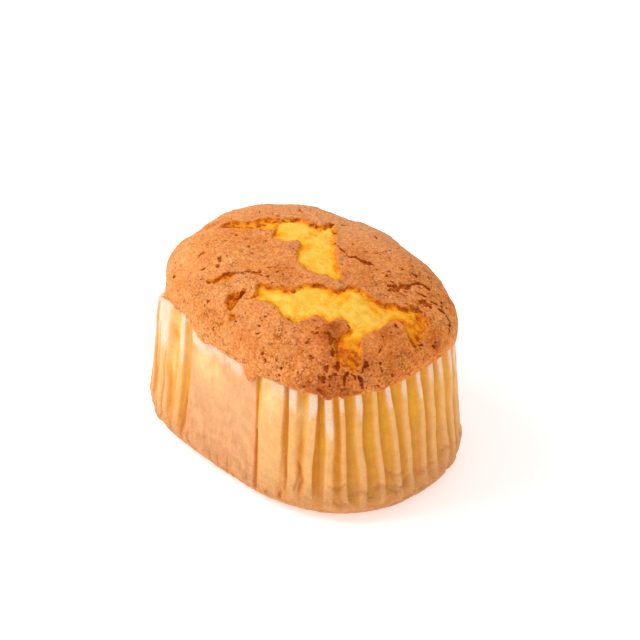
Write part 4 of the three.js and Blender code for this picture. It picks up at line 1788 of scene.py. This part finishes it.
BENDS = (
    Bend(-180, 0.0, -1.0, -0.4, -0.2, 0.0),
    Bend(-166, -0.4, -2.3, -0.8, 0.0, 0.3),
    Bend(-157, -1.2, -2.4, -0.8, 0.0, 0.2, 0.3),
    Bend(-149, -1.8, -1.2, -0.5, -0.1, -2.0, -1.0),
    Bend(-143, -0.6, 0.1, -0.2, -0.1, -2.4, -1.5),
    Bend(-138, 1.2, 0.5, -0.2, 0.1, -2.2, -1.4),
    Bend(-133, 2.7, 0.3, -0.2, 0.5, -1.6, -1.1),
    Bend(-128, 3.8, 0.0, -0.3, 0.3, -0.8, -0.7),
    Bend(-120, 4.0, -0.3, -0.4, -0.4, -0.2, -0.5),
    Bend(-113, 3.5, -0.3, -0.6, -0.8, 0.0, -0.4),
    Bend(-107, 2.2, -0.1, -0.5, -0.9, 0.0, 0.1),
    Bend(-101, 1.6, 0.0, -0.4, -0.5, 0.0),
    Bend(-95, 1.9, 0.0, -0.4, -0.4, 0.0),
    Bend(-88, 1.9, 0.0, -0.4, -0.4, 0.0),
    Bend(-76, 1.4, 0.0, -0.5, -0.7, 0.0),
    Bend(-70, 0.5, 0.0, -0.4, -0.4, 0.0),
    Bend(-60, 1.1, 0.0, -0.4, -0.3, 0.0),
    Bend(-51, 0.7, 0.0, -0.4, -0.4, 0.0),
    Bend(-30, 1.0, 0.0, -0.5, -0.6, 0.0),
    Bend(-18, 1.6, 0.0, -0.4, -0.9, 0.0),
    Bend(-9, 1.9, 0.0, -0.3, -0.4, 0.0),
    Bend(2, 2.2, 0.0, -0.3, 0.3, 0.0),
    Bend(14, 1.8, 0.1, -0.4, 0.0, -0.1),
    Bend(20, 0.9, 0.1, -0.5, 0.0, -0.3),
    Bend(27, -0.3, 0.1, -0.6, -0.4, -0.4),
    Bend(38, -0.6, 0.1, -0.5, -0.4, 0.0),
    Bend(60, 0.2, 0.0, 0.1, 0.1, 0.0),
    Bend(100, 0.5, -0.2, -0.2, 0.0, 0.0),
    Bend(140, 0.2, 0.1, 0.2, 0.1, 0.0),
)
BEND_PLACES = np.arange(-180.0, 180.0, 0.5)


@dataclass
class PaperCase:
    """The pleated oval cup. Its wall runs up the outside, over the rim and down the inside."""

    outline: Oval = Oval(40.6, 30.0, 2.53)
    height: float = 35.1
    belly_height: float = 6.0
    foot_inset: float = 5.0
    rim_inset: float = 2.85
    thickness: float = 0.22
    pleat_depth: float = 1.05
    pleat_foot: float = 4.0
    panel_sag: float = 0.45
    panel_middle: float = -57.6
    panel_half: float = 12.6
    bend_smoothing: int = 5
    most_aside: float = 0.58
    most_wider: float = 0.24
    sharp_slope: float = 0.6
    drum_radii: tuple[float, float] = (40.0, 30.0)
    base_ring: float = 12.0
    standing_height: float = 0.3
    columns: int = 1180
    foot_rows: int = 14
    wall_rows: int = 38
    inner_rows: int = 9
    noise: SmoothNoise = SmoothNoise(31)
    seed: int = 32

    @cached_property
    def folds(self) -> list[Fold]:
        """Every fold round the case: the half's own, plain ones between, and the other half's.

        The other half is the first one turned by half a turn and made uneven by seeded jitter.

        Returns:
            The folds.
        """
        random = np.random.default_rng(self.seed)
        first = list(HALF_FOLDS)
        for place in np.linspace(*PLAIN_FOLDS, 5):
            lean, lift, tip = random.uniform((-0.6, 0.85, 2.0), (0.6, 1.0, 6.0))
            first.append(Fold(place + lean, place - lean, 0.7, lift, tip))
        second = []
        turned = self.outline.perimeter / 2
        for fold in first:
            least, most = (-0.35, -0.35, 0.85, 0.7), (0.35, 0.35, 1.05, 1.3)
            foot, rim, lift, tip = random.uniform(least, most)
            steady = 0.0 if fold.panel else 1.0
            foot = fold.foot + turned + steady * foot
            rim = fold.rim + turned + steady * rim
            lift = min(fold.lift * lift, 1.0)
            second.append(replace(fold, foot=foot, rim=rim, lift=lift, tip=fold.tip * tip))
        return first + second

    @cached_property
    def bend_table(self) -> dict[str, Array]:
        """The bends between the named ones, each the mean over some places on both sides.

        Returns:
            Each kind of bend at BEND_PLACES.
        """
        given = [bend.angle for bend in BENDS]
        shifts = range(-self.bend_smoothing, self.bend_smoothing + 1)
        table = {}
        for key in ("rise", "rim", "belly", "foot", "crust", "cover"):
            named = [getattr(bend, key) for bend in BENDS]
            values = np.interp(BEND_PLACES, given, named, period=360.0)
            table[key] = sum(np.roll(values, shift) for shift in shifts) / len(shifts)
        return table

    def bends(self, angle: Array) -> dict[str, Array]:
        """The bends at some angles.

        Args:
            angle: the angles in radians.

        Returns:
            Each kind of bend at each angle.
        """
        turned = np.degrees(angle)
        table = self.bend_table
        return {key: np.interp(turned, BEND_PLACES, table[key], period=360.0) for key in table}

    def bent(self, inset: Array, height: Array, angle: Array) -> tuple[Array, Array]:
        """Bends a place on the smooth side.

        Args:
            inset: its inset from the widest oval.
            height: its height above the floor.
            angle: its angle in radians.

        Returns:
            The inset and the height after the bends.
        """
        bends = self.bends(angle)
        at_rim = smoothstep(10.0, 35.0, height)
        at_foot = smoothstep(7.0, 2.0, height)
        push = bends["rim"] * at_rim + bends["foot"] * at_foot
        push = push + bends["belly"] * (1.0 - at_rim) * (1.0 - at_foot)
        return inset - push, height + bends["rise"] * smoothstep(14.0, self.height, height)

    def side_profile(
        self, offset: float, foot_rows: int, wall_rows: int
    ) -> list[tuple[float, float]]:
        """The side from the base to the rim: a quarter of an ellipse and then a straight slope.

        Args:
            offset: how far it is moved inwards.
            foot_rows: the steps on the foot.
            wall_rows: the steps on the slope.

        Returns:
            The inset and the height at each step.
        """
        turns = np.linspace(0.0, math.pi / 2, foot_rows + 1)
        insets = self.foot_inset - (self.foot_inset - offset) * np.sin(turns)
        heights = self.belly_height - (self.belly_height - offset) * np.cos(turns)
        shares = np.linspace(0.0, 1.0, wall_rows + 1)[1:]
        insets = np.concatenate([insets, offset + self.rim_inset * shares])
        slope = self.height - self.belly_height
        heights = np.concatenate([heights, self.belly_height + slope * shares])
        return list(zip(insets.tolist(), heights.tolist()))

    def round_distance(self, first: Array, second: float | Array) -> Array:
        """The shorter way round from one place to another, positive or negative."""
        whole = self.outline.perimeter
        return (first - second + whole / 2) % whole - whole / 2

    def sway(self, number: int, height: Array) -> tuple[Array, Array]:
        """How far a fold wanders aside and how much wider it gets, straight between kinks.

        Args:
            number: the fold's number, which gives it its own line of noise.
            height: heights above the floor.

        Returns:
            The way aside and the extra half width at each height.
        """
        levels = np.linspace(0.0, 42.0, 9)
        own = np.full_like(levels, 13.7 * number)
        line = np.stack([own, levels, np.zeros_like(levels)], axis=1)
        aside = self.most_aside * self.noise.layered(line, 11.0, 2)
        wider = self.most_wider * self.noise.layered(line + 21.0, 8.0, 2)
        return np.interp(height, levels, aside), np.interp(height, levels, wider)

    def pleats(self, distance: Array, height: Array, drum: Array) -> dict[str, Array]:
        """Finds the pleats at each place on the wall.

        A fold's cross-section is flat over its half width and falls to nothing over its slopes.
        Its middle moves from its foot place to its rim place with the height, and sways.

        Args:
            distance: places round the case.
            height: heights above the floor.
            drum: the same places in space, for noise.

        Returns:
            "lift", 0 in a valley and 1 on a full ridge; "panel", 1 on the flat panels; "dry", 1
            on the dry tips and on painted pale lines of light along sharp fold edges; and "deep", 1
            in the tight valleys, painted dark as shade.
        """
        up = np.clip((height - self.pleat_foot) / (self.height - self.pleat_foot), 0.0, 1.0)
        lift, panel, dry, deep = np.zeros((4, *distance.shape))
        frayed = 1.8 * self.noise.layered(drum * np.array([1.0, 1.0, 0.25]) + 130.0, 1.5, 3, 0.7)
        for number, fold in enumerate(self.folds):
            aside, wider = self.sway(number, height)
            if fold.panel:
                aside, wider = 0.3 * aside, 0.0
            middle = fold.foot + (fold.rim - fold.foot) * up**1.6 + aside
            half = fold.half + wider * min(fold.half, 1.0)
            signed = self.round_distance(distance, middle)
            near_top, far_top = (1.0, 1.0) if fold.panel else (0.6, 0.85)
            near = smoothstep(-half - fold.climb, -near_top * half, signed)
            far = smoothstep(half + fold.fall, far_top * half, signed)
            lift = np.maximum(lift, fold.lift * near * far)
            # the tip is dry, with a frayed slanting edge
            level = self.height - fold.tip + frayed - 0.7 * np.clip(signed, -1.6, 1.6)
            top = smoothstep(level - 3.8, level + 2.0, height)
            core = smoothstep(-half - 0.45 * fold.climb, -0.7 * half, signed)
            core = core * smoothstep(half + 0.5 * fold.fall, 0.8 * half, signed)
            dry = np.maximum(dry, top * core * min(fold.tip / 3.0, 1.0))
            if fold.panel:
                panel = np.maximum(panel, smoothstep(half + 0.4, half, np.abs(signed)))
            else:
                # the valley beyond a fold is painted dark as shade, and a sharp edge of the fold
                # gets a painted pale line of light
                beside = np.where(signed > half, bell(signed - half - fold.fall - 0.4, 1.0), 0.0)
                deep = np.maximum(deep, 0.75 * fold.lift * beside)
                line = bell(signed - half, 0.2) * (fold.fall < self.sharp_slope)
                line = line + bell(signed + half, 0.2) * (fold.climb < self.sharp_slope)
                dry = np.maximum(dry, 0.42 * line * smoothstep(10.0, 24.0, height))
        deep = deep * (1.0 - lift) * smoothstep(4.0, 12.0, height)
        for turned in (0.0, self.outline.perimeter / 2):
            for shadow in HALF_SHADOWS:
                middle = turned + shadow.foot + (shadow.rim - shadow.foot) * up
                away = self.round_distance(distance, middle)
                deep = np.maximum(deep, shadow.strength * bell(away, 1.1 * shadow.half))
        return {"lift": lift, "panel": panel, "dry": dry, "deep": deep * (1.0 - 0.6 * panel)}

    def wall(
        self, inset: Array, height: Array, distance: Array, outside: Array
    ) -> tuple[Array, dict[str, Array]]:
        """Points of the wall, with pleats, sag, creases and crumples.

        Each pleat is folded shut, so the inside stays at the valleys' depth.

        Args:
            inset: the smooth profile's inset at each point.
            height: its height.
            distance: the place round the case.
            outside: 1 on the outside and 0 on the inside.

        Returns:
            The points, shape (n, 3), and the numbers that the finish reads.
        """
        angle = self.outline.angle_at(self.round_distance(distance, 0.0))
        wide, deep = self.drum_radii
        drum = np.stack([wide * np.cos(angle), deep * np.sin(angle), height], axis=1)
        found = self.pleats(distance, height, drum)
        # the pleats, with the inside further in where the paper stands off the cake
        fade = 0.6 * smoothstep(2.5, 11.0, height) + 0.4 * smoothstep(11.0, 32.0, height)
        apart = smoothstep(0.2, -0.7, self.bends(angle)["cover"])
        inside_depth = self.pleat_depth + apart * (0.3 - 0.4 * smoothstep(32.5, 35.0, height))
        depth = outside * self.pleat_depth * (1.0 - found["lift"]) + (1.0 - outside) * inside_depth
        moved = inset + depth * fade
        moved = moved + 0.3 * fade * found["deep"] * (1.0 - found["panel"])
        # the flat panels sag
        half_way = self.outline.perimeter / 2
        on_panel = (distance - self.panel_middle + half_way / 2) % half_way - half_way / 2
        sag = np.clip(1.0 - (on_panel / self.panel_half) ** 2, 0.0, 1.0)
        moved = moved + self.panel_sag * sag
        # crumples all over, and wrinkles and creases near the foot
        crumple = self.noise.layered(drum, 5.0, 3)
        small = self.noise.layered(drum * np.array([1.0, 1.0, 0.6]) + 40.0, 1.7, 2)
        crease = share_in_chains(self.round_distance(distance, 0.0), height, CREASES, -0.5, 0.2)
        low = smoothstep(11.0, 3.0, height)
        wrinkle = 1.0 - np.abs(self.noise.layered(drum + 80.0, 3.4, 2)) * 2.0
        wrinkle = smoothstep(0.35, 0.75, wrinkle)
        moved = moved + (0.12 + 0.16 * low) * crumple + 0.05 * small + 0.34 * crease
        moved = moved + 0.4 * low * wrinkle * smoothstep(0.6, 2.0, height)
        unbent = height
        moved, height = self.bent(moved, height, angle)
        x, y = self.outline.plan(angle, inset=moved)
        # what else the finish reads
        found["rise"] = height / self.height
        found["crease"] = 0.55 * crease
        cloud = self.noise.layered(drum + 15.0, 6.0, 3)
        sunny = np.zeros_like(distance)
        for glow in GLOWS:
            across = self.round_distance(distance, glow.distance) / glow.half_width
            along = (height - glow.height) / glow.half_height
            sunny = np.maximum(sunny, bell(np.hypot(across, along), 1.0))
        found["sunny"] = np.clip(sunny * (0.9 + 0.8 * cloud), 0.0, 1.0) * outside
        band = smoothstep(29.6, 32.6, unbent + 1.2 * cloud) * smoothstep(9.0, 6.0, on_panel)
        # pale dry paper on the panels' tops, on the inside near the rim and where it stands off; on
        # the inside it is also painted light over the shade between case and crust
        for dry in (
            0.8 * band * found["panel"],
            (1.0 - outside) * smoothstep(26.0, 32.0, height),
            apart * smoothstep(32.8, 34.8, unbent + 0.8 * cloud),
        ):
            found["dry"] = np.maximum(found["dry"], dry)
        return np.stack([x, y, height], axis=1), found

    def surface(self) -> Surface:
        """The whole closed surface of the case.

        Returns:
            The surface with the numbers that its finish reads.
        """
        whole = self.outline.perimeter
        round_places = np.arange(self.columns) / self.columns * whole
        outer = self.side_profile(0.0, self.foot_rows, self.wall_rows)
        inner = self.side_profile(self.thickness, 3, self.inner_rows)[::-1]
        under_ring = (outer[0][0] + self.base_ring, 0.0)
        inner_ring = (inner[-1][0] + self.base_ring, inner[-1][1])
        profile = np.array([under_ring, *outer, *inner, inner_ring])
        inset = np.repeat(profile[:, 0], self.columns)
        height = np.repeat(profile[:, 1], self.columns)
        distance = np.tile(round_places, len(profile))
        outside = np.repeat(np.arange(len(profile)) <= len(outer), self.columns).astype(float)
        points, found = self.wall(inset, height, distance, outside)
        on_floor = height < self.standing_height
        points[on_floor, 2] = height[on_floor]
        rim_wave = 0.25 * self.noise.layered(points * np.array([1.0, 1.0, 0.0]), 6.0, 2)
        points[:, 2] += rim_wave * smoothstep(self.height - 3.0, self.height, height)

        rows = [i * self.columns + np.arange(self.columns) for i in range(len(profile))]
        quads = np.concatenate([ring_quads(upper, lower) for lower, upper in zip(rows, rows[1:])])
        under, over = len(points), len(points) + 1
        points = np.concatenate([points, [[0.0, 0.0, 0.0], [0.0, 0.0, profile[-1, 1]]]])
        first, last = rows[0], rows[-1]
        base = np.stack([np.full(len(first), under), np.roll(first, -1), first], axis=1)
        inside = np.stack([np.full(len(last), over), last, np.roll(last, -1)], axis=1)
        made = {key: np.concatenate([values, [0.0, 0.0]]) for key, values in found.items()}
        return Surface(points, quads, np.concatenate([base, inside]), made)

    def build(self, finish: bpy.types.Material) -> bpy.types.Object:
        """Makes the case's object, declared to the frame.

        Args:
            finish: the paper's material.

        Returns:
            The object.
        """
        piece = self.surface().to_object("pleated_case", finish)
        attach(piece, "root")
        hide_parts("paper_case")
        return piece


# ---- The studio ----


@dataclass
class Studio:
    """A pale floor, soft light from the upper left, and the camera."""

    azimuth: float = 45.5
    elevation: float = 36.0
    distance: float = 650.0
    lens: float = 153.6
    aim_height: float = 25.0
    aim_right: float = 3.73
    aim_up: float = 5.12
    sky: float = 0.66
    key_power: float = 4.6
    fill_power: float = 0.3
    floor_half: float = 3.0

    def axes(self) -> tuple[Vector, Vector, Vector]:
        """The camera's own directions.

        Returns:
            Right, up and backward.
        """
        azimuth, elevation = math.radians(self.azimuth), math.radians(self.elevation)
        flat = math.cos(elevation)
        back = Vector((math.sin(azimuth) * flat, -math.cos(azimuth) * flat, math.sin(elevation)))
        right = Vector((math.cos(azimuth), math.sin(azimuth), 0.0))
        return right, back.cross(right), back

    def camera(self) -> None:
        """Makes the camera, looking down at the cake's rounded end and one long side."""
        right, up, back = self.axes()
        aim = Vector((0.0, 0.0, self.aim_height)) + self.aim_right * right + self.aim_up * up
        data = bpy.data.cameras.new("camera")
        data.lens = self.lens
        data.sensor_width = 36.0
        data.clip_start = 0.05
        camera = bpy.data.objects.new("camera", data)
        turned = Matrix((right, up, back)).transposed().to_4x4()
        camera.matrix_world = Matrix.Translation((aim + self.distance * back) * METRES) @ turned
        bpy.context.scene.collection.objects.link(camera)
        bpy.context.scene.camera = camera

    def lamp(
        self,
        name: str,
        direction: Vector,
        distance: float,
        size: float,
        power: float,
        colour: Colour,
    ) -> None:
        """Adds a square area light that faces the cake.

        Args:
            name: the light's name.
            direction: the way from the cake to it.
            distance: how far off it is, in metres.
            size: the length of its sides, in metres.
            power: its power in watts.
            colour: its colour.
        """
        data = bpy.data.lights.new(name, "AREA")
        data.size = size
        data.energy = power
        data.color = colour
        lamp = bpy.data.objects.new(name, data)
        target = Vector((0.0, 0.0, self.aim_height * METRES))
        lamp.location = target + direction.normalized() * distance
        lamp.rotation_euler = direction.to_track_quat("Z", "Y").to_euler()
        bpy.context.scene.collection.objects.link(lamp)

    def lights(self) -> None:
        """Makes the sky, a large key light to the upper left and a weak fill behind."""
        world = bpy.data.worlds.new("sky")
        world.use_nodes = True
        background = world.node_tree.nodes["Background"]
        background.inputs["Color"].default_value = (1.0, 0.995, 0.985, 1.0)
        background.inputs["Strength"].default_value = self.sky
        bpy.context.scene.world = world
        right, up, back = self.axes()
        key = -0.9 * right + 0.55 * up + 0.35 * back + Vector((0.0, 0.0, 0.35))
        self.lamp("key", key, 0.9, 0.5, self.key_power, (1.0, 0.98, 0.95))
        self.lamp("fill", up - 0.4 * back + 0.3 * right, 1.1, 0.8, self.fill_power, (1.0, 1.0, 1.0))

    def floor(self, finish: bpy.types.Material) -> None:
        """Makes the floor under the cake.

        Args:
            finish: the floor's material.
        """
        square = np.array([[-1, -1, 0], [1, -1, 0], [1, 1, 0], [-1, 1, 0]])
        corners = self.floor_half / METRES * square
        surface = Surface(corners, np.array([[0, 1, 2, 3]]), np.zeros((0, 3), dtype=int))
        floor = surface.to_object("floor", finish)


def main() -> None:
    """Builds the case, the sponge and the studio, and reports each piece."""
    logging.basicConfig(level=logging.INFO, format="%(name)s: %(message)s")
    scene = bpy.context.scene
    scene.view_settings.view_transform = "Standard"
    groups = Groups()
    case = PaperCase()
    studio = Studio()
    studio.camera()
    studio.lights()
    studio.floor(FloorFinish().material(groups))
    pieces = (
        case.build(PaperFinish().material(groups)),
        Sponge().build(SpongeFinish().material(groups), case),
    )
    for piece in pieces:
        piece.data.calc_loop_triangles()
        log.info("%s: %d triangles", piece.name, len(piece.data.loop_triangles))


if __name__ == "__main__":
    main()
